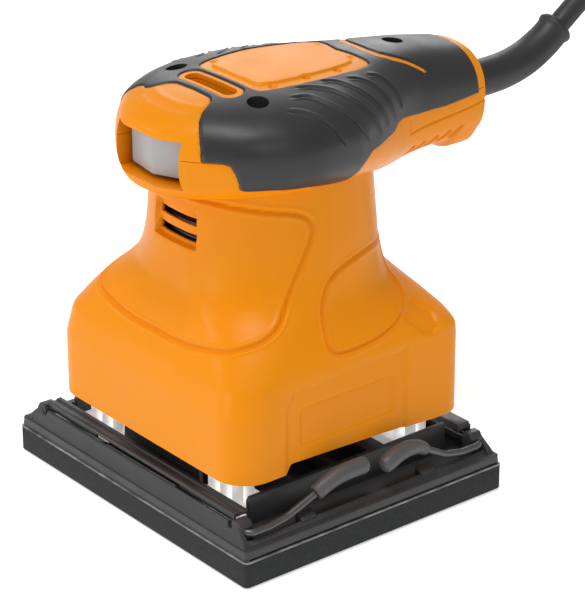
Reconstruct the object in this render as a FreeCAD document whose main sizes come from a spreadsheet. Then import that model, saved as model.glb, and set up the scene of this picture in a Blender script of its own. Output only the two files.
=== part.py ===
"""Orbital quarter-sheet sander: motor housing, top cover and grip, drive train, orbiting pad
with paper clamps, rocker switch and mains cord.

Millimetres. Origin: centre of the sanding face. +Z up, -Y towards the switch, +Y towards the
handle's cord end, +X towards the side with the clamp levers.
"""
import FreeCAD, Part
import math
import os
import Sketcher
from FreeCAD import Placement, Rotation, Vector

doc = FreeCAD.newDocument("OrbitalSander")

# ---------------------------------------------------------------- driving dimensions
DIMENSIONS = (
    # pad and base plate
    ("pad_length", 112.0), ("pad_width", 97.0), ("pad_thickness", 8.0), ("pad_corner", 2.0),
    ("plate_margin", 0.6), ("plate_floor", 3.0), ("foot_screw_place", 27.2),
    ("hub_radius", 17.0), ("hub_access", 9.0),
    ("wall_place", 43.0), ("wall_thick", 1.6), ("wall_top", 19.6), ("wall_half_run", 36.0),
    # eccentric drive
    ("orbit_radius", 1.0), ("pin_radius", 5.0), ("shaft_radius", 4.0), ("running_gap", 0.03),
    ("seat_gap", 0.02),
    # bearings: outer radius, width and lower face
    ("pad_bearing_radius", 13.0), ("pad_bearing_width", 8.0), ("pad_bearing_base", 13.0),
    ("low_bearing_radius", 11.0), ("low_bearing_width", 7.0), ("low_bearing_base", 50.0),
    ("top_bearing_radius", 9.5), ("top_bearing_width", 6.0), ("top_bearing_base", 111.0),
    ("top_journal", 3.5),
    # motor
    ("stator_radius", 27.0), ("stator_base", 61.0), ("stator_length", 27.0),
    ("rotor_radius", 15.0), ("fan_radius", 29.0), ("fan_base", 37.0), ("fan_height", 9.0),
    ("fan_blades", 12.0), ("commutator_radius", 10.5), ("commutator_base", 98.0),
    ("commutator_length", 9.5), ("brush_height", 102.7),
    # shells
    ("shell_wall", 2.6), ("head_wall", 3.6), ("grip_skin", 1.6),
    ("deck_base", 93.0), ("deck_top", 95.5), ("ledge_base", 51.0), ("ledge_top", 54.0),
    ("parting", 111.2), ("handle_parting", 106.2),
    # cover screws
    ("screw_side", 18.8), ("screw_front", -14.0), ("screw_rear", 51.3), ("screw_seat", 119.5),
    ("boss_radius", 3.6), ("boss_top", 112.0), ("cover_screw_opening", 3.3),
    ("grip_screw_opening", 3.4),
    # switch
    ("window_half", 12.0), ("window_base", 103.6), ("window_top", 118.0),
    ("knob_base", 105.4), ("knob_height", 9.6), ("knob_pivot", -30.2), ("knob_tilt", 14.0),
    # clamp levers and jaws
    ("pivot_place", 44.0), ("pivot_height", 14.0), ("wire_radius", 1.15), ("lever_side", 51.4),
    ("grip_radius", 2.6), ("jaw_half_length", 46.0),
    # cord
    ("cord_radius", 3.5), ("guard_radius", 5.8), ("guard_height", 105.1),
    ("coil_inner", 26.5), ("coil_outer", 47.5), ("coil_height", 19.1),
)

sheet = doc.addObject("Spreadsheet::Sheet", "sizes")
for row, (alias, value) in enumerate(DIMENSIONS, start=1):
    sheet.set("A%d" % row, alias.replace("_", " "))
    sheet.set("B%d" % row, str(value))
    sheet.setAlias("B%d" % row, alias)
doc.recompute()


def size(alias):
    """A driving dimension, read back from the sheet."""
    return float(sheet.get(alias))


# ---------------------------------------------------------------- helpers
nodes = []


def node(obj, label):
    """Give a finished sub-part the name that it is written under."""
    obj.Label = label
    nodes.append(obj)
    return obj


def bind(obj, **expressions):
    for prop, expression in expressions.items():
        if isinstance(expression, str):
            obj.setExpression(prop, expression)
        else:
            setattr(obj, prop, expression)
    return obj


def put(obj, x=0, y=0, z=0, rotation=None):
    """Place an object; each coordinate is a number or an expression."""
    numbers = [value if not isinstance(value, str) else 0.0 for value in (x, y, z)]
    obj.Placement = Placement(Vector(*numbers), rotation or Rotation())
    for axis, value in zip("xyz", (x, y, z)):
        if isinstance(value, str):
            obj.setExpression("Placement.Base." + axis, value)
    return obj


ALONG_X = Rotation(Vector(0, 1, 0), 90)
ALONG_Y = Rotation(Vector(1, 0, 0), -90)
MOTOR_Y = "sizes.orbit_radius"


def cylinder(name, radius, height, x=0, y=0, z=0, rotation=None, angle=360):
    obj = doc.addObject("Part::Cylinder", name)
    bind(obj, Radius=radius, Height=height, Angle=angle)
    return put(obj, x, y, z, rotation)


def block(name, length, width, height, x=0, y=0, z=0):
    """A box given by its lowest corner."""
    obj = doc.addObject("Part::Box", name)
    bind(obj, Length=length, Width=width, Height=height)
    return put(obj, x, y, z)


def fuse(name, *parts):
    obj = doc.addObject("Part::MultiFuse", name)
    obj.Shapes = list(parts)
    return obj


def cut(name, base, *tools):
    tool = tools[0] if len(tools) == 1 else fuse(name + "_tools", *tools)
    obj = doc.addObject("Part::Cut", name)
    obj.Base = base
    obj.Tool = tool
    return obj


def group(name, *parts):
    """Several separate solids that share one name."""
    obj = doc.addObject("Part::Compound", name)
    obj.Links = list(parts)
    return obj


def feature(name, shape):
    obj = doc.addObject("Part::Feature", name)
    obj.Shape = shape
    return obj


def ring(name, outer, inner, height, x=0, y=0, z=0):
    body = cylinder(name + "_outer", outer, height, x, y, z)
    bore = cylinder(name + "_bore", inner, height, x, y, z)
    return cut(name, body, bore)


def screw(name, head_radius, head_height, shank_radius, shank_length, x, y, z):
    """A pan head screw pointing down, its head's underside at z."""
    shank_foot = "(%s) - (%s)" % (z, shank_length)
    head = cylinder(name + "_head", head_radius, head_height, x, y, z)
    shank = cylinder(name + "_shank", shank_radius, shank_length, x, y, shank_foot)
    slot_depth = 0.5 * head_height
    top = "(%s) + %s" % (z, slot_depth)
    across = "(%s) - %s" % (x, head_radius)
    slot = block(name + "_slot", 2 * head_radius, 0.8, slot_depth, across,
                 "(%s) - 0.4" % y, top)
    return cut(name, fuse(name + "_whole", head, shank), slot)


def round_path(points, radii):
    """Straight runs joined by tangent arcs, one radius for each inner point."""
    points = [Vector(*point) for point in points]
    edges = []
    start = points[0]
    for index, radius in enumerate(radii, start=1):
        corner = points[index]
        back = (points[index - 1] - corner).normalize()
        ahead = (points[index + 1] - corner).normalize()
        half_turn = (math.pi - back.getAngle(ahead)) / 2
        reach = radius * math.tan(half_turn)
        arc_start = corner + back * reach
        arc_end = corner + ahead * reach
        middle = (back + ahead).normalize()
        arc_middle = corner + middle * (radius / math.cos(half_turn) - radius)
        edges.append(Part.LineSegment(start, arc_start).toShape())
        edges.append(Part.Arc(arc_start, arc_middle, arc_end).toShape())
        start = arc_end
    edges.append(Part.LineSegment(start, points[-1]).toShape())
    return Part.Wire(edges)


def pipe(path, radius):
    """A round bar along a path, square at both ends."""
    first = path.OrderedEdges[0]
    start = first.valueAt(first.FirstParameter)
    heading = first.tangentAt(first.FirstParameter)
    profile = Part.Wire(Part.makeCircle(radius, start, heading))
    return path.makePipeShell([profile], True, False)


def prism_along_x(points, half_length):
    """A closed outline in (y, z), extruded from -half_length to +half_length."""
    outline = [Vector(-half_length, y, z) for y, z in points]
    face = Part.Face(Part.makePolygon(outline + outline[:1]))
    return face.extrude(Vector(2 * half_length, 0, 0))


def prism_along_y(points, y_start, y_end):
    """A closed outline in (x, z), extruded from y_start to y_end."""
    outline = [Vector(x, y_start, z) for x, z in points]
    face = Part.Face(Part.makePolygon(outline + outline[:1]))
    return face.extrude(Vector(0, y_end - y_start, 0))


# ---------------------------------------------------------------- shell volumes
# Body sections: height, front and rear half width, front y, rear y, front and rear corner.
BODY_SECTIONS = (
    (23.5, 45.0, 44.2, -42.2, 43.4, 10.5, 7.5),
    (42.0, 45.0, 44.2, -42.2, 43.4, 10.5, 7.5),
    (48.0, 44.6, 44.2, -41.2, 43.4, 11.0, 7.5),
    (51.0, 44.2, 44.1, -40.4, 43.4, 11.0, 8.0),
    (54.0, 43.4, 43.2, -39.2, 43.0, 13.5, 12.0),
    (57.0, 42.3, 41.4, -37.6, 42.0, 15.5, 18.5),
    (60.0, 40.6, 39.0, -35.8, 40.4, 17.0, 23.5),
    (63.0, 38.5, 36.8, -34.0, 38.4, 19.0, 27.0),
    (66.0, 36.8, 35.4, -32.5, 36.9, 23.0, 30.5),
    (70.0, 35.3, 34.5, -31.2, 35.8, 27.0, 31.5),
    (76.0, 34.3, 33.8, -30.6, 35.0, 30.0, 31.8),
    (84.0, 33.5, 33.2, -30.3, 34.6, 31.5, 31.8),
    (104.0, 31.8, 31.8, -29.4, 33.4, 31.0, 31.0),
)
# Head and handle sections: y, half width, top z, lowest z.
HEAD_SECTIONS = (
    (-41.5, 9.5, 119.0, 102.0),
    (-39.8, 13.0, 120.8, 100.7),
    (-37.0, 17.4, 122.5, 99.5),
    (-33.0, 22.4, 124.1, 98.4),
    (-27.5, 27.9, 125.3, 97.6),
    (-21.0, 32.3, 126.1, 97.0),
    (-13.0, 35.6, 126.8, 96.5),
    (-4.0, 37.0, 127.3, 96.0),
    (8.0, 36.0, 127.5, 95.0),
    (18.0, 32.5, 127.2, 93.5),
    (28.0, 27.0, 126.7, 91.5),
    (33.0, 24.0, 126.4, 90.2),
    (38.0, 21.5, 126.0, 89.0),
    (43.0, 19.7, 125.6, 88.3),
    (48.0, 18.5, 125.0, 87.8),
    (58.0, 17.6, 123.7, 87.2),
    (68.0, 17.0, 122.2, 86.6),
    (78.0, 16.0, 120.4, 86.4),
)
PLATE_SCREW_PLACE = 22.6
HEAD_EXPONENT = 2.5
HEAD_POINTS = 28


def body_wire(height, wide_front, wide_rear, front, rear, front_corner, rear_corner, inset):
    """A rounded rectangle at one height, drawn in from the outer size by inset."""
    fore, aft = wide_front - inset, wide_rear - inset
    low = front + inset
    high = rear - inset
    edges = []
    corners = ((aft, high, 1, 1), (-aft, high, -1, 1), (-fore, low, -1, -1), (fore, low, 1, -1))
    previous = Vector(fore, low + front_corner - inset, height)
    for x, y, side, end in corners:
        bend = (rear_corner if end > 0 else front_corner) - inset
        diagonal = bend * (1 - math.sqrt(0.5))
        along_y = Vector(x, y - end * bend, height)
        along_x = Vector(x - side * bend, y, height)
        middle = Vector(x - side * diagonal, y - end * diagonal, height)
        first, last = (along_y, along_x) if side * end > 0 else (along_x, along_y)
        edges.append(Part.LineSegment(previous, first).toShape())
        edges.append(Part.Arc(first, middle, last).toShape())
        previous = last
    return Part.Wire(edges)


def body_volume(inset, drop=0.0):
    """The bell and neck; drop lengthens the volume below its lower edge."""
    sections = list(BODY_SECTIONS)
    sections[0] = (sections[0][0] - drop,) + sections[0][1:]
    wires = [body_wire(*section, inset) for section in sections]
    return Part.makeLoft(wires, True, True)


def head_wire(place, half_width, top, bottom, inset):
    """A superellipse across the head at one y."""
    wide = half_width - inset
    tall = (top - bottom) / 2 - inset
    centre = (top + bottom) / 2
    points = []
    for step in range(HEAD_POINTS):
        angle = 2 * math.pi * (step + 0.5) / HEAD_POINTS
        across = math.cos(angle)
        up = math.sin(angle)
        x = wide * math.copysign(abs(across) ** (2 / HEAD_EXPONENT), across)
        z = centre + tall * math.copysign(abs(up) ** (2 / HEAD_EXPONENT), up)
        points.append(Vector(x, place, z))
    curve = Part.BSplineCurve()
    curve.interpolate(points, PeriodicFlag=True)
    return Part.Wire(curve.toShape())


def head_volume(inset, end_inset):
    sections = list(HEAD_SECTIONS)
    first = sections[0]
    last = sections[-1]
    sections[0] = (first[0] + end_inset,) + first[1:]
    sections[-1] = (last[0] - end_inset,) + last[1:]
    wires = [head_wire(*section, inset) for section in sections]
    return Part.makeLoft(wires, True, True)


def cover_region():
    """Everything above the line where the cover meets the housing."""
    parting = size("parting")
    handle = size("handle_parting")
    outline = ((-60, parting), (-26, parting), (-26, 104.6), (-18.5, 104.2), (-16, 101.8),
               (22, 101.8), (30, 102.6), (36, 104.4), (40, handle), (100, handle),
               (100, 140), (-60, 140))
    return prism_along_x(outline, 60)


def round_bar(radius, base, top, x, y):
    return Part.makeCylinder(radius, top - base, Vector(x, y, base))


def screw_places():
    return ((size("screw_side"), size("screw_front")), (-size("screw_side"), size("screw_front")),
            (0.0, size("screw_rear")))


def window_box(grow, front, rear):
    """The switch window through the nose, grown by a wall's thickness."""
    half = size("window_half") + grow
    base = size("window_base") - grow
    top = size("window_top") + grow
    return Part.makeBox(2 * half, rear - front, top - base, Vector(-half, front, base))


BODY_OUTER = body_volume(0.0)
BODY_INNER = body_volume(size("shell_wall"), 1.0)
HEAD_OUTER = head_volume(0.0, 0.0)
HEAD_INNER = head_volume(size("head_wall"), size("head_wall"))
COVER_REGION = cover_region()


def slab_of(volume, base, top):
    return volume.common(Part.makeBox(120, 120, top - base, Vector(-60, -60, base)))


def motor_housing():
    """Bell, neck, nose and lower handle in one moulding, with its inner ledges and bosses."""
    motor_y = size("orbit_radius")
    shell = BODY_OUTER.fuse(HEAD_OUTER).cut(BODY_INNER.fuse(HEAD_INNER))
    shell = shell.fuse(window_box(1.8, -38.5, -33.0).common(HEAD_OUTER))
    shell = shell.cut(COVER_REGION)

    ledge = slab_of(BODY_OUTER, size("ledge_base"), size("ledge_top"))
    deck = slab_of(BODY_OUTER, size("deck_base"), size("deck_top"))
    extras = [ledge.cut(round_bar(30.0, 40, 60, 0, motor_y)),
              deck.cut(round_bar(21.0, 90, 100, 0, motor_y))]
    for turn in range(4):
        rib = Part.makeBox(6.0, 5.0, size("stator_length"), Vector(27.05, -2.5, 0))
        rib.rotate(Vector(0, 0, 0), Vector(0, 0, 1), 90 * turn)
        rib.translate(Vector(0, motor_y, size("stator_base")))
        extras.append(rib.common(BODY_OUTER))
    for x, y in screw_places():
        foot = size("deck_top") - 1.0 if y < 0 else 89.0
        extras.append(round_bar(size("boss_radius"), foot, size("boss_top"), x, y))
    shell = shell.fuse(extras)

    tools = [window_box(0.0, -60, -31.5)]
    for x, y in screw_places():
        tools.append(round_bar(1.52, 99.0, 120, x, y))
    for x in (-PLATE_SCREW_PLACE, PLATE_SCREW_PLACE):
        for y in (-PLATE_SCREW_PLACE, PLATE_SCREW_PLACE):
            tools.append(round_bar(1.5, 50, 53.6, x, y + motor_y))
    tools.append(Part.makeCylinder(6.1, 20, Vector(0, 68, size("guard_height")), Vector(0, 1, 0)))
    # the raised lower edge on both sides, with slanted ends
    for side in (1, -1):
        notch = ((-23.0, 22), (-19.0, 26.2), (20.0, 26.2), (24.0, 22))
        arch = prism_along_x(notch, 6)
        arch.translate(Vector(side * 44, 0, 0))
        tools.append(arch)
    # two louvre slots in the front of the neck
    for base in (84.2, 88.4):
        tools.append(Part.makeBox(17, 12, 2.4, Vector(-8.5, -38, base)))
    shell = shell.cut(tools)
    return node(feature("MotorHousing", largest(shell)), "motor_housing")


def largest(shape):
    return sorted(shape.Solids, key=lambda solid: solid.Volume)[-1]


def grip_openings():
    """Where the hard cover shows through the soft grip, as upright prisms."""
    panel = Part.makePolygon([Vector(-14.5, -9.6, 110), Vector(14.5, -9.6, 110),
                              Vector(12.4, 32.3, 110), Vector(-12.4, 32.3, 110),
                              Vector(-14.5, -9.6, 110)])
    prisms = [Part.Face(panel).extrude(Vector(0, 0, 30))]
    slot_half, slot_radius, slot_y = 10.5, 3.4, -16.0
    slot = Part.makeBox(2 * slot_half, 2 * slot_radius, 30,
                        Vector(-slot_half, slot_y - slot_radius, 110))
    prisms.append(slot)
    for end in (-slot_half, slot_half):
        prisms.append(round_bar(slot_radius, 110, 140, end, slot_y))
    return prisms


def cover_parts():
    """The hard cover and the soft grip moulded over it."""
    grip_bed = head_volume(size("grip_skin"), size("grip_skin"))
    grip_front, grip_rear = -26.0, 74.0
    grip_span = Part.makeBox(120, grip_rear - grip_front, 60, Vector(-60, grip_front, 90))
    openings = grip_openings()
    skin = HEAD_OUTER.cut(grip_bed).common(COVER_REGION).common(grip_span)
    for x, y in screw_places():
        skin = skin.cut(round_bar(size("grip_screw_opening"), 110, 140, x, y))
    grip = largest(skin.cut(openings))

    bare = [Part.makeBox(120, 60, 60, Vector(-60, grip_front - 60, 90)),
            Part.makeBox(120, 60, 60, Vector(-60, grip_rear, 90))]
    cover = HEAD_OUTER.cut(HEAD_INNER)
    bosses = [round_bar(4.6, size("boss_top"), 124.0, x, y) for x, y in screw_places()]
    bosses = [boss.common(HEAD_OUTER) for boss in bosses]
    cover = cover.fuse(bosses + [window_box(1.8, -38.5, -33.0).common(HEAD_OUTER)])
    cover = cover.common(grip_bed.fuse(bare + openings))
    cover = cover.common(COVER_REGION)
    tools = [BODY_INNER, window_box(0.0, -60, -31.5)]
    tools.append(Part.makeCylinder(6.1, 20, Vector(0, 68, size("guard_height")), Vector(0, 1, 0)))
    for x, y in screw_places():
        tools.append(round_bar(size("cover_screw_opening"), size("screw_seat"), 140, x, y))
        tools.append(round_bar(1.8, 100, 125, x, y))
    cover = cover.cut(tools)
    node(feature("TopCover", largest(cover)), "top_cover")
    node(feature("SoftGrip", grip), "soft_grip")


def cover_screws():
    screws = []
    places = (("sizes.screw_side", "sizes.screw_front"),
              ("-sizes.screw_side", "sizes.screw_front"), ("0", "sizes.screw_rear"))
    for index, (x, y) in enumerate(places):
        screws.append(screw("CoverScrew%d" % index, 3.1, 2.2, 1.5, 17.0, x, y,
                            "sizes.screw_seat"))
    node(group("CoverScrews", *screws), "cover_screws")


# ---------------------------------------------------------------- motor on the housing
def sketch_on(body, name, role="XY_Plane", offset=0.0):
    """A sketch on one of the body's own origin planes."""
    plane = [item for item in body.Origin.OriginFeatures if item.Role == role][0]
    sketch = body.newObject("Sketcher::SketchObject", name)
    sketch.AttachmentSupport = [(plane, "")]
    sketch.MapMode = "FlatFace"
    sketch.AttachmentOffset = Placement(Vector(0, 0, offset), Rotation())
    return sketch


def sketch_circle(sketch, radius, x=0.0, y=0.0):
    """A circle whose radius, and centre when it is off the origin, are constrained."""
    circle = sketch.addGeometry(Part.Circle(Vector(x, y, 0), Vector(0, 0, 1), 5.0), False)
    if x == 0.0 and y == 0.0:
        sketch.addConstraint(Sketcher.Constraint("Coincident", circle, 3, -1, 1))
    else:
        sketch.addConstraint(Sketcher.Constraint("DistanceX", -1, 1, circle, 3, x))
        sketch.addConstraint(Sketcher.Constraint("DistanceY", -1, 1, circle, 3, y))
    index = sketch.addConstraint(Sketcher.Constraint("Radius", circle, 5.0))
    sketch.setExpression("Constraints[%d]" % index, radius)


def sketch_polygon(sketch, points):
    """A closed outline of straight lines with joined corners."""
    lines = []
    for start, end in zip(points, points[1:] + points[:1]):
        line = Part.LineSegment(Vector(start[0], start[1], 0), Vector(end[0], end[1], 0))
        lines.append(sketch.addGeometry(line, False))
    for index, line in enumerate(lines):
        following = lines[(index + 1) % len(lines)]
        sketch.addConstraint(Sketcher.Constraint("Coincident", line, 2, following, 1))
        sketch.addConstraint(Sketcher.Constraint("Block", line))


def pad_feature(body, name, sketch, length):
    pad = body.newObject("PartDesign::Pad", name)
    pad.Profile = sketch
    pad.setExpression("Length", length)
    return pad


def pocket_through(body, name, sketch):
    pocket = body.newObject("PartDesign::Pocket", name)
    pocket.Profile = sketch
    pocket.Type = "ThroughAll"
    pocket.Midplane = True
    return pocket


def polar(body, name, originals, count):
    pattern = body.newObject("PartDesign::PolarPattern", name)
    pattern.Originals = originals
    axis = [item for item in body.Origin.OriginFeatures if item.Role == "Z_Axis"][0]
    pattern.Axis = (axis, [""])
    pattern.Angle = 360
    pattern.setExpression("Occurrences", count)
    body.Tip = pattern
    return pattern


def bearing_plate():
    """Holds the lower bearing and closes the motor space above the fan."""
    body = doc.addObject("PartDesign::Body", "BearingPlate")
    disc = sketch_on(body, "PlateDisc")
    sketch_circle(disc, "33")
    pad_feature(body, "PlatePad", disc, "2.5")
    cup = sketch_on(body, "PlateCup")
    sketch_circle(cup, "sizes.low_bearing_radius + 3")
    pad_feature(body, "CupPad", cup, "2.5 + sizes.low_bearing_width - 1")
    doc.recompute()
    seat = sketch_on(body, "BearingSeat", offset=1.5)
    sketch_circle(seat, "sizes.low_bearing_radius + sizes.seat_gap")
    seat_cut = body.newObject("PartDesign::Pocket", "SeatPocket")
    seat_cut.Profile = seat
    seat_cut.Reversed = True
    seat_cut.Length = 20
    eye = sketch_on(body, "ShaftEye")
    sketch_circle(eye, "8")
    pocket_through(body, "EyePocket", eye)
    window = sketch_on(body, "AirWindow")
    sketch_circle(window, "4.5", 21.5, 0.0)
    window_cut = pocket_through(body, "WindowPocket", window)
    polar(body, "WindowPattern", [window_cut], "6")
    hole = sketch_on(body, "ScrewHole")
    sketch_circle(hole, "1.7", PLATE_SCREW_PLACE, PLATE_SCREW_PLACE)
    hole_cut = pocket_through(body, "HolePocket", hole)
    polar(body, "HolePattern", [hole_cut], "4")
    put(body, 0, MOTOR_Y, "sizes.ledge_base - 2.5")
    node(body, "bearing_plate")
    screws = []
    for index, (x, y) in enumerate(((1, 1), (-1, 1), (-1, -1), (1, -1))):
        place_x = PLATE_SCREW_PLACE * x
        place_y = "sizes.orbit_radius + %s" % (PLATE_SCREW_PLACE * y)
        name = "PlateScrew%d" % index
        head = cylinder(name + "Head", 3.0, 1.8, place_x, place_y, "sizes.ledge_base - 4.3")
        shank = cylinder(name + "Shank", 1.45, 5.0, place_x, place_y, "sizes.ledge_base - 2.5")
        screws.append(fuse(name, head, shank))
    node(group("PlateScrews", *screws), "bearing_plate_screws")


def ball_bearing(name, label, outer, inner, width, x, y, z):
    """Two races with a cage gap between them, joined by the ball row."""
    whole = ring(name + "Whole", outer, inner, width, x, y, z)
    middle = "((%s) + (%s)) / 2" % (outer, inner)
    grooves = []
    for index, base in enumerate(("(%s)" % z, "(%s) + (%s) - 0.8" % (z, width))):
        grooves.append(ring(name + "Groove%d" % index, "%s + 1.1" % middle,
                            "%s - 1.1" % middle, 0.8, x, y, base))
    node(cut(name, whole, *grooves), label)


def bearings():
    ball_bearing("LowerBearing", "lower_bearing", "sizes.low_bearing_radius",
                 "sizes.shaft_radius + sizes.running_gap", "sizes.low_bearing_width",
                 0, MOTOR_Y, "sizes.low_bearing_base")
    ball_bearing("UpperBearing", "upper_bearing", "sizes.top_bearing_radius",
                 "sizes.top_journal + sizes.running_gap", "sizes.top_bearing_width",
                 0, MOTOR_Y, "sizes.top_bearing_base")
    ball_bearing("PadBearing", "pad_bearing", "sizes.pad_bearing_radius",
                 "sizes.pin_radius + sizes.running_gap", "sizes.pad_bearing_width",
                 0, 0, "sizes.pad_bearing_base")


def bearing_bracket():
    """A bridge over the commutator that carries the upper bearing."""
    base = "sizes.deck_top"
    legs = []
    for index, offset in enumerate((-18.5, 14.5)):
        legs.append(block("BracketLeg%d" % index, 12, 4, 13.5, -6,
                          "sizes.orbit_radius + %s" % offset, base))
    bar = block("BracketBar", 12, 37, 2, -6, "sizes.orbit_radius - 18.5",
                "sizes.deck_top + 13.5")
    cup = cylinder("BracketCup", "sizes.top_bearing_radius + 2", "2 + sizes.top_bearing_width",
                   0, MOTOR_Y, "sizes.top_bearing_base - 2")
    whole = fuse("BracketWhole", *legs, bar, cup)
    seat = cylinder("BracketSeat", "sizes.top_bearing_radius + sizes.seat_gap",
                    "sizes.top_bearing_width + 1", 0, MOTOR_Y, "sizes.top_bearing_base")
    eye = cylinder("BracketEye", 6.5, 8, 0, MOTOR_Y, "sizes.top_bearing_base - 4")
    node(cut("BearingBracket", whole, seat, eye), "bearing_bracket")


def stator():
    """Laminated ring with two pole shoes, and the field coils round them."""
    length = "sizes.stator_length"
    base = "sizes.stator_base"
    core = ring("StatorRing", "sizes.stator_radius", 21.0, length, 0, MOTOR_Y, base)
    poles = []
    for index, turn in enumerate((-40, 140)):
        shoe = cylinder("PoleShoe%d" % index, 21.5, length, 0, MOTOR_Y, base,
                        Rotation(Vector(0, 0, 1), turn), angle=80)
        poles.append(shoe)
    bore = cylinder("StatorBore", "sizes.rotor_radius + 0.5", length, 0, MOTOR_Y, base)
    node(cut("StatorCore", fuse("StatorWhole", core, *poles), bore), "stator_core")
    coils = []
    for index, turn in enumerate((46, 226)):
        side = cylinder("CoilSide%d" % index, 20.8, "%s + 7" % length, 0, MOTOR_Y,
                        "%s - 3.5" % base, Rotation(Vector(0, 0, 1), turn), angle=88)
        coils.append(side)
    ends = []
    for index, place in enumerate(("%s - 3.5" % base, "%s + %s" % (base, length))):
        ends.append(cylinder("CoilEnd%d" % index, 24.5, 3.5, 0, MOTOR_Y, place))
    coil_bore = cylinder("CoilBore", "sizes.rotor_radius + 1.2", "%s + 12" % length, 0,
                         MOTOR_Y, "%s - 6" % base)
    node(cut("StatorWindings", fuse("CoilWhole", *coils, *ends), coil_bore), "stator_windings")


def close_wound(radius, wire, length):
    """A tightly wound spring along +Z, its turns overlapping by a tenth of the wire."""
    turns = math.ceil((length - 2 * wire) / (1.8 * wire))
    pitch = (length - 2 * wire) / turns
    rings = [Part.makeTorus(radius, wire, Vector(0, 0, wire + pitch * turn))
             for turn in range(turns + 1)]
    return rings[0].fuse(rings[1:])


def brush_gear():
    """Two brush holders facing the commutator, with their brushes and springs."""
    holders, brushes, springs = [], [], []
    inner = "sizes.commutator_radius + 0.8"
    for index, side in enumerate((1, -1)):
        tag = str(index)
        start = inner if side > 0 else "-(%s) - 15" % inner
        shell = block("Holder" + tag, 15, 10, "sizes.brush_height + 4.5 - sizes.deck_top", start,
                      "sizes.orbit_radius - 5", "sizes.deck_top")
        hollow = block("HolderHollow" + tag, 15, 7.0, 6.0, start, "sizes.orbit_radius - 3.5",
                       "sizes.brush_height - 3")
        holders.append(cut("BrushHolder" + tag, shell, hollow))
        tip = "sizes.commutator_radius + 0.1"
        brush_start = tip if side > 0 else "-(%s) - 9" % tip
        brushes.append(block("Brush" + tag, 9, 6.8, 5.8, brush_start,
                             "sizes.orbit_radius - 3.4", "sizes.brush_height - 2.9"))
        spring_start = "sizes.commutator_radius + 9.2"
        spring_foot = spring_start if side > 0 else "-(%s) - 6.4" % spring_start
        coil = close_wound(1.6, 0.45, 6.4)
        spring = feature("BrushSpring" + tag, coil)
        springs.append(put(spring, spring_foot, MOTOR_Y, "sizes.brush_height", ALONG_X))
    node(group("BrushHolders", *holders), "brush_holders")
    node(group("CarbonBrushes", *brushes), "carbon_brushes")
    node(group("BrushSprings", *springs), "brush_springs")


def rotor():
    """Everything that turns with the motor shaft."""
    shaft_foot = 25.0
    journal = "sizes.top_bearing_base - 1"
    lower = cylinder("ShaftLower", "sizes.shaft_radius", "%s - %s" % (journal, shaft_foot),
                     0, MOTOR_Y, shaft_foot)
    upper = cylinder("ShaftUpper", "sizes.top_journal", "sizes.top_bearing_width + 1.5",
                     0, MOTOR_Y, journal)
    node(fuse("MotorShaft", lower, upper), "motor_shaft")

    seat = "sizes.shaft_radius + sizes.seat_gap"
    core = ring("CoreRing", "sizes.rotor_radius", seat, "sizes.stator_length", 0, MOTOR_Y,
                "sizes.stator_base")
    slots = []
    for index in range(12):
        angle = math.radians(30 * index)
        slot = cylinder("CoreSlot%d" % index, 1.5, "sizes.stator_length",
                        "(sizes.rotor_radius - 1) * %.5f" % math.cos(angle),
                        "sizes.orbit_radius + (sizes.rotor_radius - 1) * %.5f" % math.sin(angle),
                        "sizes.stator_base")
        slots.append(slot)
    node(cut("RotorCore", core, *slots), "rotor_core")

    bundles = []
    for index, (place, height) in enumerate((("sizes.stator_base - 2.8", 2.8),
                                             ("sizes.stator_base + sizes.stator_length", 6.0))):
        bundles.append(ring("EndTurns%d" % index, "sizes.rotor_radius - 1.5", seat, height, 0,
                            MOTOR_Y, place))
    node(group("RotorWindings", *bundles), "rotor_windings")

    node(ring("Commutator", "sizes.commutator_radius", seat, "sizes.commutator_length", 0,
              MOTOR_Y, "sizes.commutator_base"), "commutator")


def cooling_fan():
    """Disc with twelve radial blades above it."""
    body = doc.addObject("PartDesign::Body", "CoolingFan")
    disc = sketch_on(body, "FanDisc")
    sketch_circle(disc, "sizes.fan_radius")
    pad_feature(body, "FanDiscPad", disc, "1.6")
    hub = sketch_on(body, "FanHub")
    sketch_circle(hub, "8")
    pad_feature(body, "FanHubPad", hub, "sizes.fan_height")
    blade = sketch_on(body, "FanBlade")
    outline = [(10.0, -0.6), (19.0, 0.6), (28.2, 4.2), (27.8, 5.4), (18.6, 1.9), (10.0, 0.6)]
    sketch_polygon(blade, outline)
    blade_pad = pad_feature(body, "FanBladePad", blade, "sizes.fan_height")
    doc.recompute()
    polar(body, "FanBlades", [blade_pad], "sizes.fan_blades")
    bore = sketch_on(body, "FanBore")
    sketch_circle(bore, "sizes.shaft_radius + sizes.seat_gap")
    pocket = pocket_through(body, "FanBorePocket", bore)
    body.Tip = pocket
    put(body, 0, MOTOR_Y, "sizes.fan_base")
    node(body, "cooling_fan")


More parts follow.
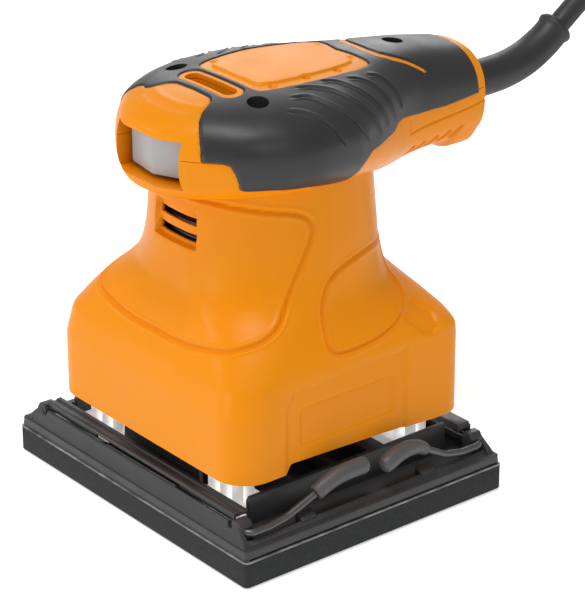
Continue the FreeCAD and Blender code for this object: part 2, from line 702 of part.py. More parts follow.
def counterweight():
    """Hub on the shaft, balance lobe on the far side and the eccentric pin below."""
    hub = cylinder("EccentricHub", 9.5, 10, 0, MOTOR_Y, 24)
    lobe = cylinder("BalanceLobe", 24, 7, 0, MOTOR_Y, 25, angle=180)
    pin = cylinder("EccentricPin", "sizes.pin_radius", 11.2, 0, 0, 12.9)
    shoulder = cylinder("PinShoulder", 7.0, 2.4, 0, 0, "24 - 2.4 - 0.5")
    whole = fuse("CounterweightWhole", hub, lobe, pin, shoulder)
    bore = cylinder("EccentricBore", "sizes.shaft_radius + sizes.seat_gap", 10, 0, MOTOR_Y, 25)
    thread = cylinder("EccentricThread", 2.42, 12.1, 0, 0, 12.5)
    node(cut("Counterweight", whole, bore, thread), "counterweight")

    washer = cylinder("DriveWasher", 6.4, 1.0, 0, 0, 11.9)
    head = cylinder("DriveHead", 4.2, 2.7, 0, 0, 9.2)
    shank = cylinder("DriveShank", 2.4, 11, 0, 0, 12.0)
    socket = cylinder("DriveSocket", 2.0, 1.6, 0, 0, 9.2)
    node(cut("DriveScrew", fuse("DriveScrewWhole", washer, head, shank), socket), "drive_screw")


# ---------------------------------------------------------------- orbiting pad
def foam_pad():
    body = doc.addObject("PartDesign::Body", "FoamPad")
    outline = sketch_on(body, "FoamOutline")
    half_x, half_y = size("pad_length") / 2, size("pad_width") / 2
    corner = size("pad_corner")
    rounded_rectangle(outline, half_x, half_y, corner)
    pad_feature(body, "FoamBlock", outline, "sizes.pad_thickness")
    node(body, "foam_pad")


def rounded_rectangle(sketch, half_x, half_y, corner):
    """A centred rectangle with quarter-round corners."""
    lines, arcs = [], []
    ends = (((half_x, -half_y + corner), (half_x, half_y - corner)),
            ((half_x - corner, half_y), (-half_x + corner, half_y)),
            ((-half_x, half_y - corner), (-half_x, -half_y + corner)),
            ((-half_x + corner, -half_y), (half_x - corner, -half_y)))
    for start, end in ends:
        segment = Part.LineSegment(Vector(start[0], start[1], 0), Vector(end[0], end[1], 0))
        lines.append(sketch.addGeometry(segment, False))
    centres = ((1, 1), (-1, 1), (-1, -1), (1, -1))
    for index, (side, end) in enumerate(centres):
        centre = Vector(side * (half_x - corner), end * (half_y - corner), 0)
        circle = Part.Circle(centre, Vector(0, 0, 1), corner)
        start = math.radians(90 * index)
        arcs.append(sketch.addGeometry(Part.ArcOfCircle(circle, start, start + math.pi / 2), False))
    for index in range(4):
        following = lines[(index + 1) % 4]
        sketch.addConstraint(Sketcher.Constraint("Tangent", lines[index], 2, arcs[index], 1))
        sketch.addConstraint(Sketcher.Constraint("Tangent", arcs[index], 2, following, 1))


def base_plate():
    """Plate with side rims, end skirts, lever brackets, foot walls and the bearing hub."""
    half_x = size("pad_length") / 2 - size("plate_margin")
    half_y = size("pad_width") / 2 - size("plate_margin")
    low = size("pad_thickness")
    top = low + size("plate_floor")
    slab = block("PlateSlab", "sizes.pad_length - 2 * sizes.plate_margin",
                 "sizes.pad_width - 2 * sizes.plate_margin", "sizes.plate_floor",
                 -half_x, -half_y, "sizes.pad_thickness")
    hub = cylinder("PlateHub", "sizes.hub_radius", "sizes.pad_bearing_base"
                   " + sizes.pad_bearing_width - sizes.pad_thickness", 0, 0,
                   "sizes.pad_thickness")
    parts = [slab, hub]
    rim = ((half_x, low), (half_x - 0.2, low + 1.4), (half_x - 3.2, top + 1.2),
           (half_x - 4.2, top + 1.2), (half_x - 4.6, low))
    skirt = ((-half_y, low), (-half_y + 0.4, low + 2.6), (-half_y + 1.0, low + 4.4),
             (-half_y + 1.2, top + 4.4), (-half_y + 1.6, top + 5.6), (-half_y + 2.3, top + 5.6),
             (-half_y + 2.3, low))
    for index, side in enumerate((1, -1)):
        mirrored = [(side * x, z) for x, z in rim]
        parts.append(feature("SideRim%d" % index, prism_along_y(mirrored, -half_y, half_y)))
        mirrored = [(side * y, z) for y, z in skirt]
        edge = prism_along_x(mirrored, half_x - 1.0)
        for end in (1, -1):
            corner = prism_along_y(((end * (half_x - 0.5), top - 0.5), (end * (half_x - 7), top + 8),
                                    (end * (half_x + 4), top + 8)), -60, 60)
            edge = edge.cut(corner)
        parts.append(feature("EndSkirt%d" % index, edge))
        wall_x = "sizes.wall_place - sizes.wall_thick" if side > 0 else "-sizes.wall_place"
        parts.append(block("FootWall%d" % index, "sizes.wall_thick", "2 * sizes.wall_half_run",
                           "sizes.wall_top - sizes.pad_thickness", wall_x,
                           "-sizes.wall_half_run", "sizes.pad_thickness"))
        cross_y = 34.4 if side > 0 else -36.0
        parts.append(block("CrossWall%d" % index, 37, 1.6, "20.4 - sizes.pad_thickness", -18.5,
                           cross_y, "sizes.pad_thickness"))
        rib_y = 16.5 if side > 0 else -34.5
        parts.append(block("HubRib%d" % index, 2, 18, 8, -1, rib_y, "sizes.pad_thickness"))
        rib_x = 16.5 if side > 0 else -42.0
        parts.append(block("SideRib%d" % index, 25.5, 2, 8, rib_x, -1, "sizes.pad_thickness"))
        for end in (1, -1):
            bracket_x = 45.5 if side > 0 else -48.7
            bracket_y = 41.4 if end > 0 else -47.0
            parts.append(block("Bracket%d%d" % (index, end > 0), 3.2, 5.6, 8.6, bracket_x,
                               bracket_y, "sizes.pad_thickness"))
        catch_y = 21.0 if side > 0 else -25.0
        parts.append(block("Catch%d" % index, 3.2, 4.5, 4.6, 49.0, catch_y,
                           "sizes.pad_thickness"))
    seat = cylinder("HubSeat", "sizes.pad_bearing_radius + sizes.seat_gap", 12, 0, 0,
                    "sizes.pad_bearing_base")
    access = cylinder("HubAccess", "sizes.hub_access", 12, 0, 0, 6)
    tools = [seat, access]
    for index, end in enumerate((1, -1)):
        place = "sizes.pivot_place" if end > 0 else "-sizes.pivot_place"
        tools.append(cylinder("PivotBore%d" % index, "sizes.wire_radius + 0.08", 104, -52, place,
                              "sizes.pivot_height", ALONG_X))
        notch_y = 46.5 if end > 0 else -48.5
        for side in (1, -1):
            notch_x = 45.6 if side > 0 else -48.6
            tools.append(block("SkirtNotch%d%d" % (index, side > 0), 3.0, 2.0, 4, notch_x,
                               notch_y, 14.2))
    for x in (1, -1):
        for y in (1, -1):
            for step in (0, 1):
                tools.append(cylinder("FootScrewHole%d%d%d" % (x > 0, y > 0, step), 1.25, 6,
                                      x * (24.5 + 13.0 * step),
                                      y * size("foot_screw_place"), 8.6))
    node(cut("BasePlate", fuse("PlateWhole", *parts), *tools), "base_plate")

    retainer = ring("Retainer", "sizes.hub_radius", 9.6, 1.3, 0, 0, 21)
    node(retainer, "bearing_retainer")


def feet():
    """Four flexible posts: a flange on the plate, six columns and a head in the housing."""
    names = {(1, -1): "foot_front_left", (-1, -1): "foot_front_right",
             (1, 1): "foot_rear_left", (-1, 1): "foot_rear_right"}
    screws = []
    for (side, end), label in names.items():
        tag = label.title().replace("_", "")
        flange_x = 20.0 if side > 0 else -41.2
        flange_y = 25.0 if end > 0 else -38.6
        parts = [block(tag + "Flange", 21.2, 13.6, 3.0, flange_x, flange_y, 11)]
        head_x = 21.5 if side > 0 else -36.5
        head_y = 28.8 if end > 0 else -36.3
        parts.append(block(tag + "Head", 15, 7.5, 7, head_x, head_y, 23.5))
        for column in range(3):
            for row in range(2):
                x = head_x + 0.5 + 5.6 * column
                y = head_y + 0.4 + 3.9 * row
                parts.append(block("%sColumn%d%d" % (tag, column, row), 2.8, 2.8, 11, x, y, 13))
        holes = []
        for step in (0, 1):
            x = side * (24.5 + 13.0 * step)
            y = end * size("foot_screw_place")
            holes.append(cylinder("%sHole%d" % (tag, step), 1.3, 4, x, y, 10.5))
            screws.append(screw("%sScrew%d" % (tag, step), 1.9, 1.5, 1.2, 5.2, str(x), str(y),
                                "14"))
        node(cut(tag, fuse(tag + "Whole", *parts), *holes), label)
    node(group("FootScrews", *screws), "foot_screws")


def lever_paths(end):
    """Wire and grip routes of one clamp lever; end is -1 at the front, +1 at the rear."""
    pivot_y = end * size("pivot_place")
    height = size("pivot_height")
    side = size("lever_side")
    crank_y = pivot_y - end * 1.5
    spine = [(-49.0, pivot_y, height), (-20.0, pivot_y, height), (-17.0, crank_y, height),
             (17.0, crank_y, height), (20.0, pivot_y, height), (side, pivot_y, height)]
    if end < 0:
        arm = [(side, -36.5, height), (50.9, -29.8, 14.6), (50.2, -18.1, 18.4),
               (50.4, -10.0, 21.6), (50.8, -2.6, 21.9)]
        radii = [2.5, 2.5, 2.5, 2.5, 2.6, 6.0, 8.0, 6.0, 6.0]
        grip_from = 2
    else:
        arm = [(side, 36.0, height), (51.2, 29.6, 15.2), (50.4, 22.5, 19.0),
               (50.6, 15.0, 21.4), (51.4, 6.9, 19.6)]
        radii = [2.5, 2.5, 2.5, 2.5, 2.6, 6.0, 6.0, 6.0, 6.0]
        grip_from = 2
    return spine + arm, radii, arm[grip_from:]


def clamp_lever(end, name):
    points, radii, grip_points = lever_paths(end)
    wire = pipe(round_path(points, radii), size("wire_radius"))
    node(feature(name.title() + "Lever", wire), name + "_lever")
    grip_path = round_path(grip_points, radii[-1:])
    last = Vector(*grip_points[-1])
    sleeve = pipe(grip_path, size("grip_radius")).fuse(Part.makeSphere(size("grip_radius"), last))
    sleeve = largest(sleeve.cut(wire))
    node(feature(name.title() + "LeverGrip", sleeve), name + "_lever_grip")


def clamp_jaw(end, name):
    """Pressed strip that traps the sheet's end, turned down along its inner edge."""
    outline = ((44.9, 17.1), (44.9, 18.5), (39.6, 18.5), (39.4, 17.6), (39.4, 11.4),
               (40.5, 11.4), (40.5, 17.1))
    mirrored = [(end * y, z) for y, z in outline]
    strip = prism_along_x(mirrored, size("jaw_half_length"))
    # the turned-down edge only runs between the feet
    for side in (1, -1):
        clear = Part.makeBox(30, 4, 8, Vector(-15, -2, -4))
        clear.translate(Vector(side * 34.5, end * 39.6, 12.9))
        strip = strip.cut(clear)
    node(feature(name.title() + "Jaw", strip), name + "_jaw")


# ---------------------------------------------------------------- switch and wiring
def switch():
    """Rocker in its frame; it turns about an upright pin and rests tilted."""
    frame = block("SwitchFrame", 23.6, 2.4, 14.0, -11.8, -33.0, "sizes.window_base + 0.2")
    core = block("SwitchCore", 18, 13, 13, -9, -31.0, "sizes.window_base + 0.6")
    hollow = block("SwitchHollow", 21.6, 8.0, 11.2, -10.8, -34.0, "sizes.window_base + 1.4")
    node(cut("SwitchBody", fuse("SwitchWhole", frame, core), hollow), "switch_body")

    outline = ((-9.3, -4.7), (0, -7.0), (9.3, -4.7), (8.8, -3.4), (4.0, 2.6), (-4.0, 2.6),
               (-8.8, -3.4))
    points = [Vector(x, y, 0) for x, y in outline]
    face = Part.Face(Part.makePolygon(points + points[:1]))
    knob = feature("SwitchKnob", face.extrude(Vector(0, 0, size("knob_height"))))
    put(knob, 0, size("knob_pivot"), size("knob_base"),
        Rotation(Vector(0, 0, 1), size("knob_tilt")))
    node(knob, "switch_knob")


def wiring():
    """Capacitor, cord clamp and the leads between the cord, the switch and the brushes."""
    node(block("Capacitor", 13, 16, 8, -6.5, 28, 99.5), "capacitor")
    base = block("ClampBase", 20, 7, 3.4, -10, 60, "sizes.guard_height - 7")
    feet_blocks = [block("ClampFoot%d" % index, 4, 7, 8.0, x, 60, "sizes.guard_height - 13.8")
                   for index, x in enumerate((-5.5, 1.5))]
    strap = block("ClampStrap", 20, 7, 8.4, -10, 60, "sizes.guard_height - 3.6")
    bore = cylinder("ClampBore", "sizes.cord_radius + 0.02", 9, 0, 59, "sizes.guard_height",
                    ALONG_Y)
    node(cut("CordClamp", fuse("ClampWhole", base, strap, *feet_blocks), bore), "cord_clamp")
    screws = []
    for index, x in enumerate((-7.5, 7.5)):
        screws.append(cylinder("ClampScrew%d" % index, 2.2, 1.6, x, 63.5,
                               "sizes.guard_height + 4.8"))
    node(group("ClampScrews", *screws), "cord_clamp_screws")

    leads = []
    height = size("guard_height")
    for index, side in enumerate((1, -1)):
        route = [(side * 1.5, 57.8, height), (side * 6.5, 52, height + 1.1),
                 (side * 7.6, 45, height + 4.0), (side * 11.0, 38, 111.5),
                 (side * 20.0, 18, 113.4), (side * 20.0, 4, 114.0), (side * 12.5, -8, 113.5),
                 (side * 7.8, -17.4, 113.5)]
        leads.append(feature("Lead%d" % index, pipe(round_path(route, [4, 4, 6, 12, 8, 7]), 1.1)))
    node(group("InnerLeads", *leads), "inner_leads")


# ---------------------------------------------------------------- cord
def cord_radii(points):
    """The largest arc that each turn's two runs allow."""
    radii = []
    for before, corner, after in zip(points, points[1:], points[2:]):
        before, corner, after = Vector(*before), Vector(*corner), Vector(*after)
        shorter = min((corner - before).Length, (after - corner).Length)
        turn = (corner - before).getAngle(after - corner)
        radii.append(0.45 * shorter / math.tan(turn / 2))
    return radii


GUARD_ROUTE = ((0, 66.0, 105.1), (0, 106.0, 105.1), (0, 120.0, 115.6))
GUARD_BEND = 46.0
CORD_ROUTE = ((0, 120.0, 115.6), (0, 139.2, 130.0), (1.5, 162.8, 134.2), (5, 185.6, 126.8),
              (11, 202.6, 109.8), (19, 213.8, 82.0), (31, 222.1, 42.9), (38.5, 233.4, 21.7),
              (46, 252.0, 9.0), (51, 272.0, 3.5), (52.5, 292.0, 3.5))
COIL_CENTRE = (8.5, 292.0)
TAIL_ROUTE = ((-21.5, 268.0, 15.6), (-22.0, 254.0, 13.6), (-22.5, 240.0, 8.6), (-22.5, 228.0, 6.9))


def tube_node(route, radii, radius, name, label):
    """A round cord along a route; its volume is compared with section times length."""
    path = round_path(route, radii)
    tube = pipe(path, radius)
    ratio = tube.Volume / (path.Length * math.pi * radius ** 2)
    print(label, "length %.1f" % path.Length, "volume ratio %.4f" % ratio,
          "radii", " ".join("%.1f" % value for value in radii))
    return node(feature(name, tube), label)


def cord_parts():
    radius = size("cord_radius")
    guard_path = round_path(GUARD_ROUTE, [GUARD_BEND])
    outer = pipe(guard_path, size("guard_radius"))
    flange = Part.makeCylinder(8.6, 3.0, Vector(0, 70.6, size("guard_height")), Vector(0, 1, 0))
    bore = pipe(guard_path, radius + 0.04)
    behind = Part.makeBox(40, 4.6, 40, Vector(-20, 66, 85))
    guard = outer.cut(behind).fuse(flange).cut(bore)
    node(feature("CordGuard", guard), "cord_guard")
    inner_route = ((0, 58.4, size("guard_height")),) + GUARD_ROUTE[1:]
    tube_node(inner_route, [GUARD_BEND], radius, "CordInner", "cord_inner")
    tube_node(CORD_ROUTE, cord_radii(CORD_ROUTE), radius, "Cord", "cord")
    tube_node(TAIL_ROUTE, cord_radii(TAIL_ROUTE), radius, "CordTail", "cord_tail")


def cord_coil():
    """The outer shape of the wound cord: a flat ring with a sloping outer edge."""
    body = doc.addObject("PartDesign::Body", "CordCoil")
    profile = sketch_on(body, "CoilProfile", "XZ_Plane")
    inner, outer, height = size("coil_inner"), size("coil_outer"), size("coil_height")
    shoulder, slope = 13.0, 3.5
    sketch_polygon(profile, [(inner, 0), (outer, 0), (outer, shoulder), (outer - slope, height),
                             (inner, height)])
    turn = body.newObject("PartDesign::Revolution", "CoilTurn")
    turn.Profile = profile
    turn.ReferenceAxis = (profile, ["V_Axis"])
    turn.Angle = 360
    put(body, *COIL_CENTRE, 0)
    node(body, "cord_coil")


def plug():
    """A flat two-pin plug at the cord's end."""
    half_width, height = 13.0, 13.7
    x, mouth = TAIL_ROUTE[-1][0], TAIL_ROUTE[-1][1] - 0.6
    front = mouth - 35.0
    outline = ((x - 5.5, mouth), (x - 6.5, mouth - 9), (x - half_width, mouth - 17),
               (x - half_width, front), (x + half_width, front), (x + half_width, mouth - 17),
               (x + 6.5, mouth - 9), (x + 5.5, mouth))
    points = [Vector(px, py, 0) for px, py in outline]
    body = Part.Face(Part.makePolygon(points + points[:1])).extrude(Vector(0, 0, height))
    node(feature("PlugBody", body.makeFillet(2.0, long_edges(body))), "plug_body")
    pins = []
    for index, side in enumerate((-9.3, 9.3)):
        pins.append(cylinder("Pin%d" % index, 2.0, 18, x + side, front, height / 2,
                             Rotation(Vector(1, 0, 0), 90)))
    node(group("PlugPins", *pins), "plug_pins")


def long_edges(body):
    """The upright edges of an extruded outline."""
    upright = []
    for edge in body.Edges:
        start, end = edge.Vertexes[0].Point, edge.Vertexes[-1].Point
        if abs(start.x - end.x) < 0.01 and abs(start.y - end.y) < 0.01:
            upright.append(edge)
    return upright


FINISHED = (motor_housing, cover_parts, cover_screws, bearing_plate, bearings, bearing_bracket,
            stator, brush_gear, rotor, cooling_fan, counterweight, foam_pad, base_plate, feet,
            switch, wiring, cord_parts, cord_coil, plug)
for build in FINISHED:
    build()
for end, name in ((-1, "front"), (1, "rear")):
    clamp_lever(end, name)
    clamp_jaw(end, name)

# ---------------------------------------------------------------- check and write
doc.recompute()
for obj in doc.Objects:
    if "Invalid" in obj.State or "Error" in obj.State:
        raise RuntimeError("%s failed: %s" % (obj.Label, obj.State))
for obj in nodes:
    if obj.Shape.isNull() or not obj.Shape.isValid() or not obj.Shape.Solids:
        raise RuntimeError("%s has no valid solid" % obj.Label)
os.makedirs("parts", exist_ok=True)
for obj in nodes:
    obj.Shape.exportStep("parts/%s.step" % obj.Label)
    box = obj.Shape.BoundBox
    print("%-22s solids %d  volume %9.1f  x %.1f..%.1f y %.1f..%.1f z %.1f..%.1f" % (
        obj.Label, len(obj.Shape.Solids), obj.Shape.Volume, box.XMin, box.XMax, box.YMin,
        box.YMax, box.ZMin, box.ZMax))
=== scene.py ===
"""Orbital sander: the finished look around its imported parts. Lengths are millimetres here and
metres in the meshes."""

import math

import bmesh
import bpy
import numpy as np
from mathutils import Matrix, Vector


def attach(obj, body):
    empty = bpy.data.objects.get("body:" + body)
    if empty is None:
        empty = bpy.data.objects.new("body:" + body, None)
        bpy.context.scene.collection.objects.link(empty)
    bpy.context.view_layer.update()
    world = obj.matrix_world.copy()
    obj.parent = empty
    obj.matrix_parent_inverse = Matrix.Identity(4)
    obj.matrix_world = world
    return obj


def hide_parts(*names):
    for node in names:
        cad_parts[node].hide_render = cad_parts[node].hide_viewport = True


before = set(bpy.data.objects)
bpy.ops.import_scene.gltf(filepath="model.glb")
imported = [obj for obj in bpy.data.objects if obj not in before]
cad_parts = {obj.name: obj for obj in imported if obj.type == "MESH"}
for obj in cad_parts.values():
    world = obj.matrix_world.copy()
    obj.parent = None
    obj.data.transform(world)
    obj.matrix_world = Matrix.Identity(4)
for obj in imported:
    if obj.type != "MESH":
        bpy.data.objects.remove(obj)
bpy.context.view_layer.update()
MM = 0.001

# ---------------------------------------------------------------- camera
# the camera looks at AIM from this far back; both in metres
AZIMUTH, ELEVATION = math.radians(50.99), math.radians(24.09)
AIM = Vector((-0.0896, 0.0861, 0))
DISTANCE = 0.9474
FOCAL_LENGTH = 165.4

back = Vector((math.sin(AZIMUTH) * math.cos(ELEVATION), -math.cos(AZIMUTH) * math.cos(ELEVATION),
               math.sin(ELEVATION)))
lens = bpy.data.cameras.new("View")
lens.lens = FOCAL_LENGTH
lens.clip_start = 0.05
lens.clip_end = 60
camera = bpy.data.objects.new("View", lens)
bpy.context.scene.collection.objects.link(camera)
camera.location = AIM + back * DISTANCE
camera.rotation_mode = "QUATERNION"
camera.rotation_quaternion = (-back).to_track_quat("-Z", "Y")
bpy.context.scene.camera = camera
bpy.context.scene.view_settings.view_transform = "Standard"


# ---------------------------------------------------------------- meshes
def smoothstep(low, high, value):
    t = np.clip((value - low) / (high - low), 0, 1)
    return t * t * (3 - 2 * t)


def link(name, data):
    obj = bpy.data.objects.new(name, data)
    bpy.context.scene.collection.objects.link(obj)
    return obj


def mesh_object(name, points, faces, smooth=True):
    data = bpy.data.meshes.new(name)
    data.from_pydata((np.asarray(points, float) * MM).tolist(), [], faces)
    data.update()
    if smooth:
        data.shade_smooth()
    return link(name, data)


def grid_faces(rows, columns, offset=0):
    """Quads of a grid whose columns close round, with both ends capped."""
    index = np.arange(rows * columns).reshape(rows, columns) + offset
    a, b = index[:-1], index[1:]
    quads = np.stack([a, np.roll(a, -1, 1), np.roll(b, -1, 1), b], -1).reshape(-1, 4)
    return quads.tolist() + [index[0][::-1].tolist(), index[-1].tolist()]


def rings_object(name, rings, smooth=True):
    rings = np.asarray(rings, float)
    obj = mesh_object(name, rings.reshape(-1, 3), grid_faces(*rings.shape[:2]), smooth)
    return outward(obj)


def outward(obj):
    """Turn the faces outwards."""
    work = bmesh.new()
    work.from_mesh(obj.data)
    if work.calc_volume(signed=True) < 0:
        bmesh.ops.reverse_faces(work, faces=work.faces)
    work.to_mesh(obj.data)
    work.free()
    return obj


def normals(grid):
    """Unit normals of a grid of rings, pointing away from the rings' middles."""
    across = np.roll(grid, -1, 1) - np.roll(grid, 1, 1)
    along = np.gradient(grid, axis=0)
    n = np.cross(across, along)
    n /= np.maximum(np.linalg.norm(n, axis=2, keepdims=True), 1e-9)
    outwards = grid - grid.mean(axis=1, keepdims=True)
    if (n * outwards).sum() < 0:
        n = -n
    return n


def join(name, objects):
    """One mesh object made of several, which are removed."""
    points, faces, count = [], [], 0
    for obj in objects:
        m = np.array(obj.matrix_world)
        co = np.array([v.co for v in obj.data.vertices]) @ m[:3, :3].T + m[:3, 3]
        points.append(co)
        faces += [[count + i for i in p.vertices] for p in obj.data.polygons]
        count += len(co)
    smooth = objects[0].data.polygons[0].use_smooth
    for obj in objects:
        bpy.data.objects.remove(obj)
    return mesh_object(name, np.concatenate(points) / MM, faces, smooth)


def cut_with(obj, cutter, operation="DIFFERENCE"):
    """Cut, join or intersect with a closed shape, which is removed."""
    step = obj.modifiers.new("cut", "BOOLEAN")
    step.operation = operation
    step.solver = "MANIFOLD"
    step.object = cutter
    apply_all(obj)
    bpy.data.objects.remove(cutter)
    return obj


def apply_all(obj):
    """Put the modifiers' result in the mesh."""
    graph = bpy.context.evaluated_depsgraph_get()
    made = bpy.data.meshes.new_from_object(obj.evaluated_get(graph))
    obj.modifiers.clear()
    old = obj.data
    obj.data = made
    bpy.data.meshes.remove(old)
    return obj


def bevel(obj, width, segments=3, angle=35):
    step = obj.modifiers.new("bevel", "BEVEL")
    step.width = width * MM
    step.segments = segments
    step.limit_method = "ANGLE"
    step.angle_limit = math.radians(angle)
    apply_all(obj)
    return smooth_by_angle(obj)


def smooth_by_angle(obj, angle=40):
    obj.data.shade_smooth()
    obj.data.set_sharp_from_angle(angle=math.radians(angle))
    return obj


def prism(name, outline, low, high, axis="z"):
    """An outline swept along an axis. The outline's two coordinates are the other two axes."""
    count = len(outline)
    points = []
    for place in (low, high):
        for a, b in outline:
            points.append({"x": (place, a, b), "y": (a, place, b), "z": (a, b, place)}[axis])
    faces = [[i, (i + 1) % count, count + (i + 1) % count, count + i] for i in range(count)]
    faces += [list(range(count))[::-1], list(range(count, 2 * count))]
    return outward(mesh_object(name, points, faces, smooth=False))


def box(name, low, high):
    return prism(name, ((low[0], low[1]), (high[0], low[1]), (high[0], high[1]),
                        (low[0], high[1])), low[2], high[2])


def disc(radius, x=0.0, y=0.0, count=48):
    return [(x + radius * math.cos(2 * math.pi * i / count),
             y + radius * math.sin(2 * math.pi * i / count)) for i in range(count)]


def rounded(half_x, half_y, radius, x=0.0, y=0.0, count=8):
    """A rectangle with round corners."""
    outline = []
    for quarter, (sx, sy) in enumerate(((1, 1), (-1, 1), (-1, -1), (1, -1))):
        for i in range(count + 1):
            a = math.pi / 2 * (quarter + i / count)
            outline.append((x + sx * (half_x - radius) + radius * math.cos(a),
                            y + sy * (half_y - radius) + radius * math.sin(a)))
    return outline


def spline_points(points, steps=8):
    """A smooth line through points, as a uniform Catmull-Rom curve."""
    p = np.asarray(points, float)
    p = np.concatenate([[2 * p[0] - p[1]], p, [2 * p[-1] - p[-2]]])
    out = []
    for a, b, c, d in zip(p, p[1:], p[2:], p[3:]):
        for t in np.arange(steps) / steps:
            out.append(0.5 * (2 * b + (c - a) * t + (2 * a - 5 * b + 4 * c - d) * t * t
                              + (3 * b - a - 3 * c + d) * t ** 3))
    out.append(p[-2])
    return np.array(out)


def sweep(name, line, radii, count=24):
    """A round bar along a line, with a radius at each point and closed ends."""
    line = np.asarray(line, float)
    radii = np.broadcast_to(radii, len(line))
    heading = np.gradient(line, axis=0)
    heading /= np.linalg.norm(heading, axis=1, keepdims=True)
    side = np.cross(heading[0], (0, 0, 1.0))
    if np.linalg.norm(side) < 0.1:
        side = np.cross(heading[0], (1.0, 0, 0))
    rings = []
    angles = np.linspace(0, 2 * math.pi, count, endpoint=False)
    for place, ahead, radius in zip(line, heading, radii):
        side = side - ahead * (side @ ahead)
        side /= np.linalg.norm(side)
        up = np.cross(side, ahead)
        rings.append(place + radius * (np.outer(np.cos(angles), side)
                                       + np.outer(np.sin(angles), up)))
    return rings_object(name, rings)


def nearest(points, line):
    """Distance from each point to a line of straight runs, and how far along it lies, 0 to 1."""
    line = np.asarray(line, float)
    starts, ends = line[:-1], line[1:]
    lengths = np.linalg.norm(ends - starts, axis=1)
    reach = np.concatenate([[0], np.cumsum(lengths)])
    best = np.full(len(points), 1e9)
    along = np.zeros(len(points))
    for a, b, length, run in zip(starts, ends, lengths, reach):
        if length < 1e-9:
            continue
        t = np.clip(((points - a) @ (b - a)) / length ** 2, 0, 1)
        away = np.linalg.norm(points - a - t[:, None] * (b - a), axis=1)
        closer = away < best
        best[closer] = away[closer]
        along[closer] = (run + t[closer] * length) / reach[-1]
    return best, along


def outside(points, polygon):
    """Signed distance to a flat closed outline: above 0 outside it."""
    polygon = np.asarray(polygon, float)
    away, _ = nearest(points, np.vstack([polygon, polygon[:1]]))
    within = np.zeros(len(points), bool)
    for (ax, ay), (bx, by) in zip(polygon, np.roll(polygon, -1, 0)):
        crosses = (ay > points[:, 1]) != (by > points[:, 1])
        if ay != by:
            x = ax + (points[:, 1] - ay) / (by - ay) * (bx - ax)
            within ^= crosses & (points[:, 0] < x)
    return np.where(within, -away, away)


# ---------------------------------------------------------------- section tables
def through(rows, at, column):
    """A smooth monotone curve through one column of a table, against its first column."""
    x = np.array([row[0] for row in rows], float)
    y = np.array([row[column] for row in rows], float)
    step = np.diff(x)
    slope = np.diff(y) / step
    bend = np.zeros_like(y)
    same = slope[:-1] * slope[1:] > 0
    w1, w2 = 2 * step[1:] + step[:-1], step[1:] + 2 * step[:-1]
    safe = np.where(same, slope[:-1], 1), np.where(same, slope[1:], 1)
    bend[1:-1] = np.where(same, (w1 + w2) / (w1 / safe[0] + w2 / safe[1]), 0)
    bend[0], bend[-1] = slope[0], slope[-1]
    at = np.clip(at, x[0], x[-1])
    k = np.clip(np.searchsorted(x, at, side="right") - 1, 0, len(x) - 2)
    h, t = step[k], (at - x[k]) / step[k]
    return ((2 * t ** 3 - 3 * t ** 2 + 1) * y[k] + (t ** 3 - 2 * t ** 2 + t) * h * bend[k]
            + (-2 * t ** 3 + 3 * t ** 2) * y[k + 1] + (t ** 3 - t ** 2) * h * bend[k + 1])


# z, front half width, rear half width, front y, rear y, front corner, rear corner
BODY = (
    (23.5, 45.0, 44.2, -42.2, 43.4, 10.5, 7.5), (42.0, 45.0, 44.2, -42.2, 43.4, 10.5, 7.5),
    (48.0, 44.6, 44.2, -41.2, 43.4, 11.0, 7.5), (51.0, 44.2, 44.1, -40.4, 43.4, 11.0, 8.0),
    (54.0, 43.4, 43.2, -39.2, 43.0, 13.5, 12.0), (57.0, 42.3, 41.4, -37.6, 42.0, 15.5, 18.5),
    (60.0, 40.6, 39.0, -35.8, 40.4, 17.0, 23.5), (63.0, 38.5, 36.8, -34.0, 38.4, 19.0, 27.0),
    (66.0, 36.8, 35.4, -32.5, 36.9, 23.0, 30.5), (70.0, 35.3, 34.5, -31.2, 35.8, 27.0, 31.5),
    (76.0, 34.3, 33.8, -30.6, 35.0, 30.0, 31.8), (84.0, 33.5, 33.2, -30.3, 34.6, 31.5, 31.8),
    (104.0, 31.8, 31.8, -29.4, 33.4, 31.0, 31.0))
# y, half width, top z, lowest z
HEAD = (
    (-41.5, 9.5, 119.0, 102.0), (-39.8, 13.0, 120.8, 100.7), (-37.0, 17.4, 122.5, 99.5),
    (-33.0, 22.4, 124.1, 98.4), (-27.5, 27.9, 125.3, 97.6), (-21.0, 32.3, 126.1, 97.0),
    (-13.0, 35.6, 126.8, 96.5), (-4.0, 37.0, 127.3, 96.0), (8.0, 36.0, 127.5, 95.0),
    (18.0, 32.5, 127.2, 93.5), (28.0, 27.0, 126.7, 91.5), (33.0, 24.0, 126.4, 90.4),
    (38.0, 21.5, 126.0, 90.0), (43.0, 19.7, 125.6, 90.4), (48.0, 18.5, 125.0, 90.9),
    (58.0, 17.6, 123.6, 91.5), (66.5, 17.0, 122.0, 91.3), (72.0, 16.4, 121.0, 91.2),
    (75.4, 15.8, 120.4, 91.8))


